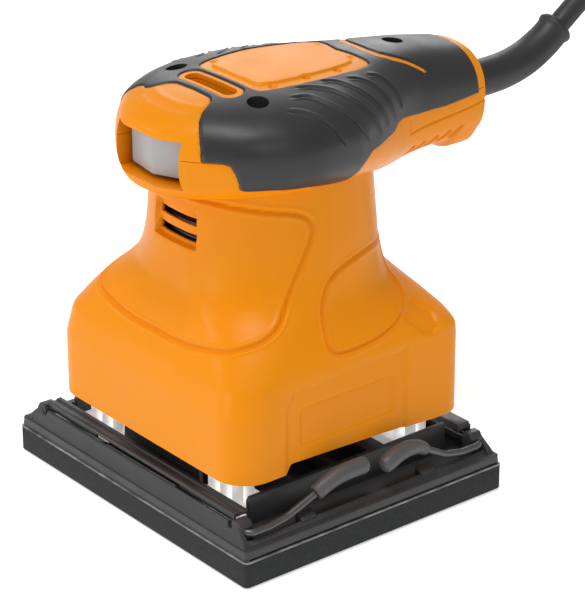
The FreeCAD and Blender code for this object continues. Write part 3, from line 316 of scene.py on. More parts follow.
def body_rings(heights, inset=0.0):
    """Sections of the lower housing: front middle, round the +X side, to the rear middle, and
    mirrored for the other half."""
    front, rear, side, corner = 60, 60, 120, 90
    rings = []
    for z in heights:
        wf, wr, yf, yr, cf, cr = [float(through(BODY, np.array([z]), k)[0]) for k in range(1, 7)]
        wf, wr, yf, yr = wf - inset, wr - inset, yf + inset, yr - inset
        cf, cr = max(cf - inset, 1.0), max(cr - inset, 1.0)
        straight = [np.stack([np.linspace(0, wf - cf, front, endpoint=False),
                              np.full(front, yf)], 1)]
        a = np.radians(np.linspace(-90, 0, corner, endpoint=False))
        straight.append(np.stack([wf - cf + cf * np.cos(a), yf + cf + cf * np.sin(a)], 1))
        straight.append(np.stack([np.linspace(wf, wr, side, endpoint=False),
                                  np.linspace(yf + cf, yr - cr, side, endpoint=False)], 1))
        a = np.radians(np.linspace(0, 90, corner, endpoint=False))
        straight.append(np.stack([wr - cr + cr * np.cos(a), yr - cr + cr * np.sin(a)], 1))
        straight.append(np.stack([np.linspace(wr - cr, 0, rear + 1), np.full(rear + 1, yr)], 1))
        half = np.concatenate(straight)
        whole = np.concatenate([half, half[-2:0:-1] * (-1, 1)])
        rings.append(np.column_stack([whole, np.full(len(whole), z)]))
    return np.array(rings)


def head_rings(places, inset=0.0, count=600):
    """Sections of the head and handle, evenly divided round."""
    angle = np.linspace(0, 2 * math.pi, 1441)
    c, s = np.cos(angle), np.sin(angle)
    rings = []
    for y in places:
        w, top, low = [float(through(HEAD, np.array([y]), k)[0]) for k in (1, 2, 3)]
        w, tall, middle = w - inset, (top - low) / 2 - inset, (top + low) / 2
        x = w * np.sign(c) * np.abs(c) ** 0.8
        z = middle + tall * np.sign(s) * np.abs(s) ** 0.8
        run = np.concatenate([[0], np.cumsum(np.hypot(np.diff(x), np.diff(z)))])
        even = np.linspace(0, run[-1], count, endpoint=False)
        rings.append(np.stack([np.interp(even, run, x), np.full(count, y),
                               np.interp(even, run, z)], 1))
    return np.array(rings)


def onto(line, grid, normal):
    """Slide a line's points along the surface normal until they lie on the surface."""
    flat, flat_normal = grid.reshape(-1, 3), normal.reshape(-1, 3)
    out = []
    for point in spline_points(line):
        k = ((flat - point) ** 2).sum(1).argmin()
        out.append(point - flat_normal[k] * ((point - flat[k]) @ flat_normal[k]))
    return np.array(out)


def groove(away, depth, half, lip=0.35):
    """A rounded groove with slightly raised edges."""
    return (-depth * np.exp(-(away / half) ** 2)
            + lip * depth * np.exp(-((away - 2.1 * half) / (0.8 * half)) ** 2))


# ---------------------------------------------------------------- finishes
def material(name, colour, rough=0.45, vary=0.05, size=40, grain=0.0, grain_size=1500, metal=0.0,
             coat=0.0, spread=0.08, bands=None, gloss=0.5):
    """A finish whose colour and roughness drift softly and whose surface has a fine grain.
    size and grain_size are features per metre; bands is (axis, per metre, depth)."""
    made = bpy.data.materials.new(name)
    made.use_nodes = True
    nodes, wires = made.node_tree.nodes, made.node_tree.links
    surface = nodes["Principled BSDF"]
    place = nodes.new("ShaderNodeTexCoord")
    drift = nodes.new("ShaderNodeTexNoise")
    drift.inputs["Scale"].default_value = size
    drift.inputs["Detail"].default_value = 4
    wires.new(place.outputs["Object"], drift.inputs["Vector"])
    tone = nodes.new("ShaderNodeValToRGB")
    tone.color_ramp.elements[0].position = 0.3
    tone.color_ramp.elements[1].position = 0.7
    tone.color_ramp.elements[0].color = [c * (1 - vary) for c in colour] + [1]
    tone.color_ramp.elements[1].color = [min(1, c * (1 + vary)) for c in colour] + [1]
    wires.new(drift.outputs["Fac"], tone.inputs["Fac"])
    wires.new(tone.outputs["Color"], surface.inputs["Base Color"])
    wear = nodes.new("ShaderNodeTexNoise")
    wear.inputs["Scale"].default_value = size * 3.1
    wear.inputs["Detail"].default_value = 6
    wires.new(place.outputs["Object"], wear.inputs["Vector"])
    reach = nodes.new("ShaderNodeMapRange")
    reach.inputs["From Min"].default_value = 0.3
    reach.inputs["From Max"].default_value = 0.7
    reach.inputs["To Min"].default_value = max(0.03, rough - spread)
    reach.inputs["To Max"].default_value = min(1, rough + spread)
    wires.new(wear.outputs["Fac"], reach.inputs["Value"])
    wires.new(reach.outputs["Result"], surface.inputs["Roughness"])
    surface.inputs["Metallic"].default_value = metal
    surface.inputs["Coat Weight"].default_value = coat
    surface.inputs["Coat Roughness"].default_value = 0.25
    surface.inputs["Specular IOR Level"].default_value = gloss
    last = None
    if grain:
        fine = nodes.new("ShaderNodeTexNoise")
        fine.inputs["Scale"].default_value = grain_size
        fine.inputs["Detail"].default_value = 3
        wires.new(place.outputs["Object"], fine.inputs["Vector"])
        last = nodes.new("ShaderNodeBump")
        last.inputs["Strength"].default_value = min(1.0, grain)
        last.inputs["Distance"].default_value = 0.00012
        wires.new(fine.outputs["Fac"], last.inputs["Height"])
    if bands:
        axis, count, depth = bands
        stripes = nodes.new("ShaderNodeTexWave")
        stripes.bands_direction = axis
        stripes.inputs["Scale"].default_value = count / 20.0 * math.pi
        stripes.inputs["Distortion"].default_value = 0.3
        wires.new(place.outputs["Object"], stripes.inputs["Vector"])
        ridge = nodes.new("ShaderNodeBump")
        ridge.inputs["Strength"].default_value = 0.8
        ridge.inputs["Distance"].default_value = depth * MM
        wires.new(stripes.outputs["Fac"], ridge.inputs["Height"])
        if last:
            wires.new(last.outputs["Normal"], ridge.inputs["Normal"])
        last = ridge
    if last:
        wires.new(last.outputs["Normal"], surface.inputs["Normal"])
    return made


def linear(*rgb):
    """A screen colour, 0 to 255, as linear values."""
    return [(v / 255 / 12.92) if v <= 10 else ((v / 255 + 0.055) / 1.055) ** 2.4 for v in rgb]


def lit(finish, strength):
    """Let a white finish give off some light of its own."""
    surface = finish.node_tree.nodes["Principled BSDF"]
    surface.inputs["Emission Color"].default_value = (1, 1, 1, 1)
    surface.inputs["Emission Strength"].default_value = strength


ORANGE = material("orange_plastic", linear(236, 142, 8), 0.4, 0.03, 18, 0.2, 2600, coat=0.06,
                  gloss=0.12)
GRIP = material("soft_black", linear(38, 38, 39), 0.4, 0.06, 30, 0.3, 3200)
PLATE = material("plate_plastic", linear(50, 50, 51), 0.46, 0.1, 35, 0.5, 1900)
# pale grey broken up by noise: a painted highlight for the light caught along the foam's top edge
FOAM_EDGE_HIGHLIGHT = material("foam_edge_painted_highlight", linear(135, 137, 135), 0.7, 0.6, 220, 0.6, 1400)
FOAM = material("foam", linear(34, 36, 36), 0.85, 0.14, 500, 1.0, 1400)
WHITE = material("white_plastic_painted_glow", linear(250, 250, 248), 0.4, 0.03, 60, 0.3, 2000)
KNOB = material("switch_plastic", linear(168, 170, 173), 0.36, 0.03, 60, 0.3, 2600)
GUARD = material("guard_rubber", linear(36, 37, 38), 0.46, 0.06, 40, 0.5, 2600)
CORD = material("cord_rubber", linear(38, 39, 40), 0.5, 0.07, 60, 0.45, 2400)
WIRE = material("plated_wire", linear(96, 96, 97), 0.28, 0.06, 60, 0.05, 2400, metal=0.7)
SLEEVE = material("lever_rubber", linear(80, 80, 80), 0.42, 0.07, 80, 0.5, 2400)
STEEL = material("steel", linear(170, 172, 174), 0.3, 0.08, 120, 0.4, 2200, metal=1.0)
JAW = material("painted_steel", linear(40, 40, 42), 0.4, 0.12, 90, 0.5, 1800)
COPPER = material("copper_wire", linear(190, 104, 58), 0.32, 0.15, 300, 0.3, 2500, metal=1.0,
                  bands=("Z", 1500, 0.25))
LAMINATION = material("laminations", linear(120, 122, 124), 0.42, 0.1, 200, 0.3, 2000, metal=1.0,
                      bands=("Z", 1600, 0.15))
BRASS = material("commutator_copper", linear(200, 128, 80), 0.35, 0.12, 300, 0.3, 2500, metal=1.0,
                 bands=("X", 700, 0.2))
CARBON = material("carbon", linear(42, 42, 44), 0.7, 0.15, 400, 0.6, 2600)
CAST = material("cast_zinc", linear(140, 141, 142), 0.5, 0.1, 200, 0.9, 1200, metal=0.9)
DARK = material("dark_plastic", linear(30, 30, 32), 0.45, 0.08, 60, 0.4, 2200)
FILM = material("capacitor_case", linear(190, 160, 40), 0.35, 0.05, 90, 0.3, 2200)
LEAD = material("lead_insulation", linear(150, 40, 34), 0.42, 0.08, 90, 0.3, 2200)

# painted light: the white feet glow so they look bright in the shade under the housing
FEET_PAINTED_GLOW = 0.3
lit(WHITE, FEET_PAINTED_GLOW)

CAD_FINISH = {
    "bearing_plate": DARK, "bearing_plate_screws": STEEL, "lower_bearing": STEEL,
    "upper_bearing": STEEL, "pad_bearing": STEEL, "bearing_bracket": DARK,
    "stator_core": LAMINATION, "stator_windings": COPPER, "brush_holders": BRASS,
    "carbon_brushes": CARBON, "brush_springs": STEEL, "motor_shaft": STEEL,
    "rotor_core": LAMINATION, "rotor_windings": COPPER, "commutator": BRASS,
    "cooling_fan": DARK, "counterweight": CAST, "drive_screw": STEEL,
    "bearing_retainer": STEEL, "foot_screws": STEEL, "cover_screws": STEEL,
    "switch_body": DARK, "capacitor": FILM, "cord_clamp": DARK, "cord_clamp_screws": STEEL,
    "inner_leads": LEAD, "cord_inner": CORD, "front_jaw": JAW, "rear_jaw": JAW,
    "front_lever": WIRE, "rear_lever": WIRE, "front_lever_grip": SLEEVE,
    "rear_lever_grip": SLEEVE, "base_plate": PLATE, "foam_pad": FOAM, "plug_pins": BRASS,
    "plug_body": CORD, "foot_front_left": WHITE, "foot_front_right": WHITE,
    "foot_rear_left": WHITE, "foot_rear_right": WHITE, "switch_knob": KNOB,
    "motor_housing": ORANGE, "top_cover": ORANGE, "soft_grip": GRIP, "cord_guard": GUARD,
    "cord": CORD, "cord_coil": CORD, "cord_tail": CORD,
}
for label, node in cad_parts.items():
    node.data.materials.clear()
    node.data.materials.append(CAD_FINISH[label])
    smooth_by_angle(node, 35)


def finish_piece(obj, finish, body, slot, *stands_for):
    obj.data.materials.clear()
    obj.data.materials.append(finish)
    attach(obj, body)
    if stands_for:
        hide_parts(*stands_for)
    return obj


# ---------------------------------------------------------------- cord, coil and plug
CORD_RADIUS = 3.5
COIL_CENTRE = (8.5, 292.0)
COIL_TURNS = 7.5
COIL_STEPS_PER_TURN = 24


def cord_line():
    """Free run to the floor, a flat coil of three layers, and a short tail to the plug."""
    free = [(0, 120.0, 115.6), (0, 139.2, 130.0), (1.5, 162.8, 134.2), (5, 185.6, 126.8),
            (11, 202.6, 109.8), (19, 213.8, 82.0), (31, 222.1, 42.9), (38.5, 233.4, 21.7),
            (46, 252.0, 9.0), (51, 272.0, 3.5)]
    tail = [(-21.5, 268.0, 15.6), (-22.0, 254.0, 13.6), (-22.5, 240.0, 8.6), (-22.5, 228.0, 6.9)]
    layers = ((0.0, 44.0, 3.5), (2.0, 30.0, 3.5), (2.75, 30.0, 3.5), (3.25, 30.0, 9.6),
              (5.25, 44.0, 9.6), (5.75, 43.6, 9.6), (6.25, 40.5, 15.6), (7.5, 30.0, 15.6))
    turns, radii, heights = np.array(layers).T
    coil = []
    for step in range(int(COIL_TURNS * COIL_STEPS_PER_TURN) + 1):
        turn = step * (1 / COIL_STEPS_PER_TURN)
        radius = np.interp(turn, turns, radii)
        angle = 2 * math.pi * turn
        coil.append((COIL_CENTRE[0] + radius * math.cos(angle),
                     COIL_CENTRE[1] + radius * math.sin(angle),
                     float(np.interp(turn, turns, heights))))
    return free + coil + tail


line = cord_line()
curve = bpy.data.curves.new("mains_cord", "CURVE")
curve.dimensions = "3D"
run = curve.splines.new("NURBS")
run.points.add(len(line) - 1)
for control, (x, y, z) in zip(run.points, line):
    control.co = (x * MM, y * MM, z * MM, 1)
run.order_u = 3
run.use_endpoint_u = True
run.resolution_u = 6
curve.bevel_depth = CORD_RADIUS * MM
curve.bevel_resolution = 6
curve.use_fill_caps = True
cord = finish_piece(link("mains_cord", curve), CORD, "housing", "cord_rubber",
                    "cord", "cord_coil", "cord_tail")


def plug():
    """Two-pin plug: a tapered neck with ribs and a flat body with a waist; the round pins are the
    imported ones.
    """
    x, mouth = -22.5, 227.4
    half = [(5.2, 0), (6.3, -8.5), (9.5, -14.5), (12.6, -19.5), (12.9, -34.8)]
    outline = [(x + a, mouth + b) for a, b in half] + [(x - a, mouth + b) for a, b in half[::-1]]
    body = bevel(prism("plug", outline, 0.1, 13.6), 2.2, 4)
    ribs = [sweep("rib", [(x, y + 0.5, 6.9), (x, y - 0.5, 6.9)], [6.4, 6.4], 32)
            for y in (mouth - 3.0, mouth - 6.0)]
    return finish_piece(join("plug", [body] + ribs), CORD, "housing", "cord_rubber", "plug_body")


plug_piece = plug()


# ---------------------------------------------------------------- lower housing
SHIELD = ((0, -37.6, 57.0), (9.8, -37.6, 57.0), (20.0, -37.0, 58.0), (29.8, -35.5, 60.0),
          (34.2, -31.3, 61.6), (36.4, -25.8, 63.2), (36.0, -20.5, 65.6), (34.2, -17.0, 68.6),
          (33.0, -14.2, 72), (32.3, -11.1, 77), (32.3, -7.8, 83.0), (32.3, -5.6, 88.5),
          (32.1, -5.6, 91.8), (31.4, -7.5, 94.0), (30.0, -10.7, 95.2), (27.1, -16.1, 96.0),
          (22.6, -21.3, 96.8), (16.2, -25.8, 97.5), (9.3, -28.6, 98.0), (0, -29.7, 98.2))
TEAR = ((24.0, 28.0, 76.0), (30.9, 17.0, 77.8), (33.5, 8.5, 77.2), (34.1, 2.5, 75.4),
        (34.8, -1.8, 72.5), (36.2, -4.6, 67.0), (38.9, -6.0, 61.5), (41.4, -6.9, 57.2),
        (42.7, -5.2, 55.2), (43.1, -1.0, 54.6), (42.9, 6.6, 54.9), (42.0, 14.7, 56.0),
        (40.0, 21.0, 58.0), (37.0, 25.6, 61.2), (33.6, 28.6, 64.5), (29.0, 30.6, 68.4),
        (25.0, 31.2, 72.8), (24.0, 28.0, 76.0))
SCOOP = ((21.2, 57.2), (27.4, 51.6), (30.7, 50.6), (33.4, 52.4), (34.6, 56.5), (30.5, 60.5),
         (25.0, 61.0))
VENT_SLOTS = ((83.4, 85.9), (88.3, 90.8))
SHELL_WALL = 2.6
BODY_BASE = 23.5


def lower_housing():
    """Bell and neck in one moulding, with its grooves, side panels, shoulder facets and vent."""
    heights = np.concatenate([[BODY_BASE, 23.8], np.arange(24.25, 50, 0.5),
                              np.arange(50, 72, 0.22), np.arange(72, 103.1, 0.5)])
    outer = body_rings(heights)
    normal = normals(outer)
    flat = outer.reshape(-1, 3).copy()
    mirrored = flat.copy()
    mirrored[:, 0] = np.abs(mirrored[:, 0])
    shift = np.zeros(len(flat))
    for route in (SHIELD, TEAR):
        away, _ = nearest(mirrored, onto(route, outer, normal))
        shift += groove(away, 0.75, 0.62, 0.3)
    # the sides' shallow panel, and the blank label recess in it
    beside = (mirrored[:, 0] > 38) & (flat[:, 2] < 56)
    side = np.column_stack([flat[:, 1], flat[:, 2]])
    panel = outside(side, ((-25.2, 10), (-25.2, 44), (-21.5, 49.4), (20.6, 50.6), (20.6, 10)))
    label = outside(side, rounded(17.8, 5.9, 1.8, -1.5, 36.4))
    shift -= beside * 0.7 * (1 - smoothstep(-1.6, 0.5, panel))
    shift -= beside * 0.6 * (1 - smoothstep(-0.4, 0.2, label))
    # the small scooped facet on each rear shoulder
    scoop = outside(side, SCOOP)
    shift -= (mirrored[:, 0] > 33) * 1.2 * (1 - smoothstep(-1.4, 0.2, scoop))
    # the front vent's recess
    vent = outside(np.column_stack([flat[:, 0], flat[:, 2]]), rounded(9.6, 5.6, 0.6, 0, 87.6))
    shift -= (flat[:, 1] < -20) * 1.9 * (1 - smoothstep(-0.5, 0.1, vent))
    outer = (flat + normal.reshape(-1, 3) * shift[:, None]).reshape(outer.shape)
    outer[0] -= normal[0] * 0.45
    inner = body_rings(np.concatenate([np.arange(99.5, 25, -2.0), [24.5, BODY_BASE]]), SHELL_WALL)
    rings = np.concatenate([inner, outer])
    # the lower edge is raised along both sides between the feet
    x, y, z = rings[..., 0], rings[..., 1], rings[..., 2]
    raised = smoothstep(-24.8, -22.4, y) * np.interp(y, (-22.4, 11, 32), (2.7, 1.3, 0))
    raised *= smoothstep(36, 40, np.abs(x))
    rings[..., 2] = z + raised * (1 - np.clip((z - BODY_BASE) / 5, 0, 1))
    shell = rings_object("lower_housing", rings)
    for low, high in VENT_SLOTS:
        shell = cut_with(shell, box("slot", (-8.6, -40, low), (8.6, -20, high)))
    return finish_piece(smooth_by_angle(shell, 50), ORANGE, "housing", "orange_shell")


shell = lower_housing()
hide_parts("motor_housing")

# ---------------------------------------------------------------- head, cover and soft grip
NOSE = ((-5, -60), (60, -60), (60, -35.4), (20.5, -35.2), (18.2, -34), (14.8, -31.5),
        (12.5, -28.5), (11.3, -26), (10.1, -24), (8.6, -22.8), (7, -22.3), (-5, -22.0))
LOW_EDGE = ((-60, 113.3), (-30.8, 113.3), (-29.4, 112.5), (-28.2, 109.5), (-27, 105.4),
            (-25.8, 104.7), (-19.5, 104.6), (-8.5, 103.7), (2, 101.9), (7, 101.4), (9.5, 103.6),
            (11.5, 106.3), (15, 108.6), (23, 108.7), (30, 108.5), (33, 109.9), (36, 110.1),
            (46, 108.5), (57, 107.9), (72, 108.6), (100, 108.6), (100, 60), (-60, 60))
TOP_PANEL = ((-1, -10.6), (11.6, -10.3), (13.7, -9.6), (14.6, -8.2), (15.6, -4.5), (16.5, 2),
             (16.8, 9), (16.2, 17), (14.9, 25), (13.5, 30), (12.6, 31.5), (11, 31.9), (8, 31.2),
             (-1, 29.4))
TOP_FIELD = ((-1, -8.2), (9.8, -7.9), (11.0, -6.8), (12.6, -2), (13.2, 4), (13.3, 10),
             (12.8, 17), (11.7, 23), (10.6, 26.5), (9.4, 27.4), (-1, 26.4))
STRIPE = ((-4, 37.0), (4.5, 37.1), (8.3, 38.6), (10.8, 42.0), (12.7, 46.5), (14.9, 51.0))
GILLS = (
    ((26.1, -10.0, 123.8), (28.5, -6, 123.2), (31.8, -2.5, 121.5), (34.4, 0, 119.2),
     (36.1, 1.6, 116.2), (36.7, 2.6, 113.8)),
    ((21.7, -5.5, 125.4), (23.4, 0, 125.1), (27.7, 3.5, 123.6), (31.6, 6.5, 121.2),
     (34.2, 9.0, 118.0), (34.9, 11.6, 114.4), (34.8, 12.8, 111.8)),
    ((18.0, -1, 126.3), (19.7, 4, 126.0), (23.4, 9, 125.0), (28.0, 12.5, 122.6),
     (30.8, 15.5, 119.2), (31.8, 18.5, 114.8), (31.5, 20.0, 111.3)),
    ((18.1, 8.0, 126.3), (19.6, 13.0, 125.7), (23.5, 17.0, 123.9), (27.2, 20.5, 120.5),
     (28.7, 23.5, 116), (28.4, 25.5, 111.7)),
    ((18.8, 17.5, 125.4), (19.9, 22.0, 124.4), (22.0, 25.0, 122.6), (24.6, 27.5, 118.9),
     (25.5, 29.5, 114.6), (25.1, 31.0, 111.2)),
    ((18.0, 26.0, 124.3), (18.3, 29.6, 123.3), (20.0, 32.6, 120.3), (21.6, 34.9, 116.5),
     (22.3, 35.6, 112.9)))
SLOT_CENTRE = -16.0
TOP_ABOVE = 116.0
GRIP_END = 71.6
FAR_NOSE_SETBACK = 7.0
GRIP_BED, GRIP_RISE = 1.4, 1.8
HEAD_WALL, GRIP_WALL = 3.6, 1.7
STEP = ((41.6, 107.6), (42.6, 103.2), (67.2, 104.8), (76.0, 105.8))
NOTCHES = ((44.6, 96.0), (49.4, 96.2), (54.4, 96.6), (59.4, 97.2), (64.2, 97.8))


def grip_distance(points):
    """How far inside the soft grip's outline a point on the head lies; below 0 outside it."""
    x, y, z = np.abs(points[:, 0]), points[:, 1], points[:, 2]
    plan = np.column_stack([x, y])
    nose_plan = np.column_stack([x, y - FAR_NOSE_SETBACK * smoothstep(11, 19, -points[:, 0])])
    inside = np.minimum(outside(nose_plan, NOSE), outside(np.column_stack([y, z]), LOW_EDGE))
    on_top = z > TOP_ABOVE
    slot = np.hypot(np.maximum(x - 9.0, 0), y - SLOT_CENTRE) - 3.7
    stripe, _ = nearest(plan, STRIPE)
    stripe -= 1.25 - 0.85 * np.clip((y - 37) / 14, 0, 1)
    for opening in (outside(plan, TOP_PANEL), slot, stripe):
        inside = np.where(on_top, np.minimum(inside, opening), inside)
    return np.minimum(inside, GRIP_END - y)


head_places = np.concatenate([np.arange(-41.5, -12, 0.5), np.arange(-12, 40, 0.34),
                              np.arange(40, 74.6, 0.5), [74.6, 75.1, 75.4]])
head = head_rings(head_places)
head_normal = normals(head)
head[-1] -= head_normal[-1] * 0.9
head[-2] -= head_normal[-2] * 0.35
head[0] -= head_normal[0] * 0.4
flat_head = head.reshape(-1, 3)
inside_grip = grip_distance(flat_head)
mirrored_head = flat_head.copy()
mirrored_head[:, 0] = np.abs(mirrored_head[:, 0])


def displaced(shift):
    """The head's sections, moved along their normals."""
    moved = flat_head + head_normal.reshape(-1, 3) * shift[:, None]
    return moved.reshape(head.shape)


def hollow(rings, places, inset):
    """The outer rings with a smaller head, over the given places, cut out of their inside."""
    outer = rings_object("outer", rings)
    inner = rings_object("inner", head_rings(places, inset, 160))
    return cut_with(outer, inner)


def head_shell():
    """The orange head and handle, which sinks under the soft grip."""
    plan = np.column_stack([mirrored_head[:, 0], mirrored_head[:, 1]])
    on_top = flat_head[:, 2] > TOP_ABOVE
    shift = -GRIP_BED * smoothstep(-0.05, 0.75, inside_grip)
    field = outside(plan, TOP_FIELD)
    shift += on_top * 0.6 * (1 - smoothstep(-0.25, 0.25, field))
    for y in (-4.6, 7.2, 19.0):
        dimple = np.hypot(plan[:, 0] - 13.9 + 0.03 * abs(y - 6), plan[:, 1] - y)
        shift -= on_top * 0.9 * (1 - smoothstep(0.5, 1.5, dimple))
    dimple = np.hypot(plan[:, 0] - 7.5, plan[:, 1] - 28.9)
    shift -= on_top * 0.45 * (1 - smoothstep(0.3, 1.3, dimple))
    # soft ridges over the nose
    for y in (-35.5, -30.5):
        wave, _ = nearest(plan, ((-1, y), (6, y + 0.6), (10, y + 2.6)))
        shift += on_top * 0.22 * np.exp(-(wave / 1.3) ** 2)
    # the handle's side step, the slanted finger notches and the heel under its end
    side = flat_head[:, 1:]
    away, _ = nearest(side, STEP)
    beside = smoothstep(6, 9, mirrored_head[:, 0])
    shift -= beside * 0.45 * np.exp(-(away / 0.36) ** 2)
    for y, z in NOTCHES:
        away, _ = nearest(side, ((y + 1.2, z + 0.9), (y - 1.2, z - 1.5)))
        shift -= beside * 1.1 * (1 - smoothstep(0.35, 1.25, away))
    heel = smoothstep(62.0, 66.0, side[:, 0]) * (1 - smoothstep(72.6, 75.4, side[:, 0]))
    shift += 2.0 * heel * (1 - smoothstep(91.5, 97.5, side[:, 1]))
    return displaced(shift)


def grip_skin():
    """The soft grip's surface, sunk where the orange shell shows and grooved by the gills."""
    shift = -GRIP_BED + GRIP_RISE * smoothstep(-0.95, 0.45, inside_grip)
    for route in GILLS:
        line = onto(route, head, head_normal)
        away, along = nearest(mirrored_head, line)
        fade = smoothstep(0, 0.12, along) * (1 - smoothstep(0.9, 1.0, along))
        shift += fade * groove(away, 0.55, 0.42, 0.45)
    return displaced(shift)


# the top cover's region, seen from the side
COVER = ((-60, 113.2), (-27, 113.2), (-26, 106.6), (-18.5, 106.2), (-16, 103.8), (12, 103.8),
         (14, 109.4), (34, 111.2), (46, 109.6), (57, 108.9), (72, 109.6), (100, 109.6),
         (100, 140), (-60, 140))


def window():
    return box("window", (-12.2, -60, 103.9), (14.8, -28.4, 118.0))


# where each cover screw sits, and the top of the black lining round it
WELLS = (((18.8, -14.0), 124.2), ((-18.8, -14.0), 124.2), ((0, 51.3), 123.4))
WELL_RADIUS, LINING_RADIUS, LINING_BORE = 4.3, 4.2, 3.15
PARTING_GAP = 0.16
ABOVE_HEAD = 140


def slot_pocket():
    outline = [(x + (8.3 if x > 0 else -8.3), y + SLOT_CENTRE) for x, y in disc(2.35)]
    return prism("pocket", outline, 122.9, ABOVE_HEAD)


whole = hollow(head_shell(), np.arange(-28.5, 73.2, 2.0), HEAD_WALL)
whole = cut_with(cut_with(whole, window()), slot_pocket())
for (x, y), _ in WELLS:
    whole = cut_with(whole, prism("well", disc(WELL_RADIUS, x, y), 118.7, ABOVE_HEAD))
low_head = whole.copy()
low_head.data = whole.data.copy()
bpy.context.scene.collection.objects.link(low_head)
low_head.name = "head_lower_half"
region = prism("region", [(y, z) for y, z in COVER], -60, 60, "x")
cover = cut_with(whole, region, "INTERSECT")
cover.name = "top_cover_shell"
lowered = [(y, z - PARTING_GAP) for y, z in COVER]
low_head = cut_with(low_head, prism("region", lowered, -60, 60, "x"))
finish_piece(smooth_by_angle(cover, 50), ORANGE, "housing", "orange_shell", "top_cover")
finish_piece(smooth_by_angle(low_head, 50), ORANGE, "housing", "orange_shell")

grip = hollow(grip_skin(), np.arange(-38.5, 74.0, 1.0), GRIP_WALL)
grip = cut_with(grip, box("clear", (-60, -60, 60), (60, -36.4, 140)))
grip = cut_with(cut_with(grip, window()), slot_pocket())
for (x, y), top in WELLS:
    grip = cut_with(grip, prism("lining", disc(LINING_RADIUS, x, y), 118.8, top), "UNION")
    grip = cut_with(grip, prism("well", disc(LINING_BORE, x, y), 119.4, ABOVE_HEAD))
grip.name = "soft_grip_skin"
finish_piece(smooth_by_angle(grip, 50), GRIP, "housing", "soft_grip", "soft_grip")


# ---------------------------------------------------------------- cord guard
def guard():
    """Tapered sleeve that bends with the cord, with a bead at its end."""
    run = spline_points([(0, 70.5, 105.1), (0, 84, 105.1), (0, 96, 105.5), (0, 105, 107.4),
                         (0, 112.5, 110.8), (0, 119.0, 115.2)], 10)
    share = np.linspace(0, 1, len(run))
    radii = 6.0 - 0.75 * share + 0.55 * smoothstep(0.93, 0.97, share) * (
        1 - smoothstep(0.985, 1.0, share))
    return finish_piece(sweep("guard_sleeve", run, radii, 48), GUARD, "housing", "guard_rubber",
                        "cord_guard")


guard()

# ---------------------------------------------------------------- rocker
def rocker():
    """The two-faced cap, and the dark frame and core behind it."""
    outline = ((-10.1, -36.5), (2.0, -38.3), (13.9, -32.9), (13.6, -31.6), (3.5, -29.7),
               (-3.5, -30.2), (-9.5, -34.2))
    knob = bevel(prism("rocker_cap", outline, 105.2, 116.6), 0.45, 3, 20)
    finish_piece(knob, KNOB, "rocker", "switch_grey", "switch_knob")
    back = bevel(box("rocker_frame", (-12.0, -27.6, 104.2), (12.6, -26.4, 117.6)), 0.2, 2)
    core = bevel(box("core", (-8.8, -26.8, 104.4), (8.8, -18.2, 117.0)), 0.4, 2)
    finish_piece(join("rocker_frame", [back, core]), DARK, "housing", "dark_plastic",
                 "switch_body")


rocker()


# ---------------------------------------------------------------- base plate and clamps
def both_ends(make):
    """The same piece at the front and, turned over the middle, at the rear."""
    return [make(-1), make(1)]


def skirt(end):
    """Raised end of the plate: a section along y cut to the outline seen from the end."""
    section = ((-47.9, 8.0), (-47.7, 9.6), (-47.1, 11.3), (-46.5, 13.4), (-45.9, 15.9),
               (-45.4, 16.3), (-44.9, 16.1), (-44.7, 8.0))
    bar = prism("skirt", [(-end * y, z) for y, z in section], -55, 55, "x")
    face = ((-54.9, 7.9), (54.9, 7.9), (54.9, 9.4), (52.6, 12.4), (48.4, 16.5), (47.3, 16.5),
            (46.2, 14.4), (44.9, 14.4), (44.2, 16.5), (-44.2, 16.5), (-44.9, 14.4),
            (-46.2, 14.4), (-47.3, 16.5), (-48.4, 16.5), (-52.6, 12.4), (-54.9, 9.4))
    bar = cut_with(bar, prism("face", face, -60, 60, "y"), "INTERSECT")
    return bevel(bar, 0.22, 2, 25)


def side_rim(side):
    """Sloped edge along one side of the plate."""
    section = ((55.3, 8.0), (55.3, 8.8), (54.9, 9.3), (51.6, 12.1), (51.2, 12.0), (50.9, 8.0))
    return bevel(prism("rim", [(side * x, z) for x, z in section], -47.2, 47.2, "y"), 0.2, 2)


def brackets(side, end):
    """Bearing for the clamp wire, with a slanted outer face, and the block behind it."""
    low, high = sorted((end * 41.2, end * 45.6))
    outline = ((45.6, 8.0), (50.4, 8.0), (50.1, 15.6), (48.9, 17.2), (46.4, 17.2), (45.8, 15.9))
    hold = bevel(prism("hold", [(side * x, z) for x, z in outline], low, high, "y"), 0.3, 2)
    low, high = sorted((end * 37.2, end * 40.4))
    post = bevel(prism("post", [(side * x, z) for x, z in
                                ((46.6, 8), (49.6, 8), (49.3, 12.6), (46.9, 12.6))],
                       low, high, "y"), 0.3, 2)
    return [hold, post]


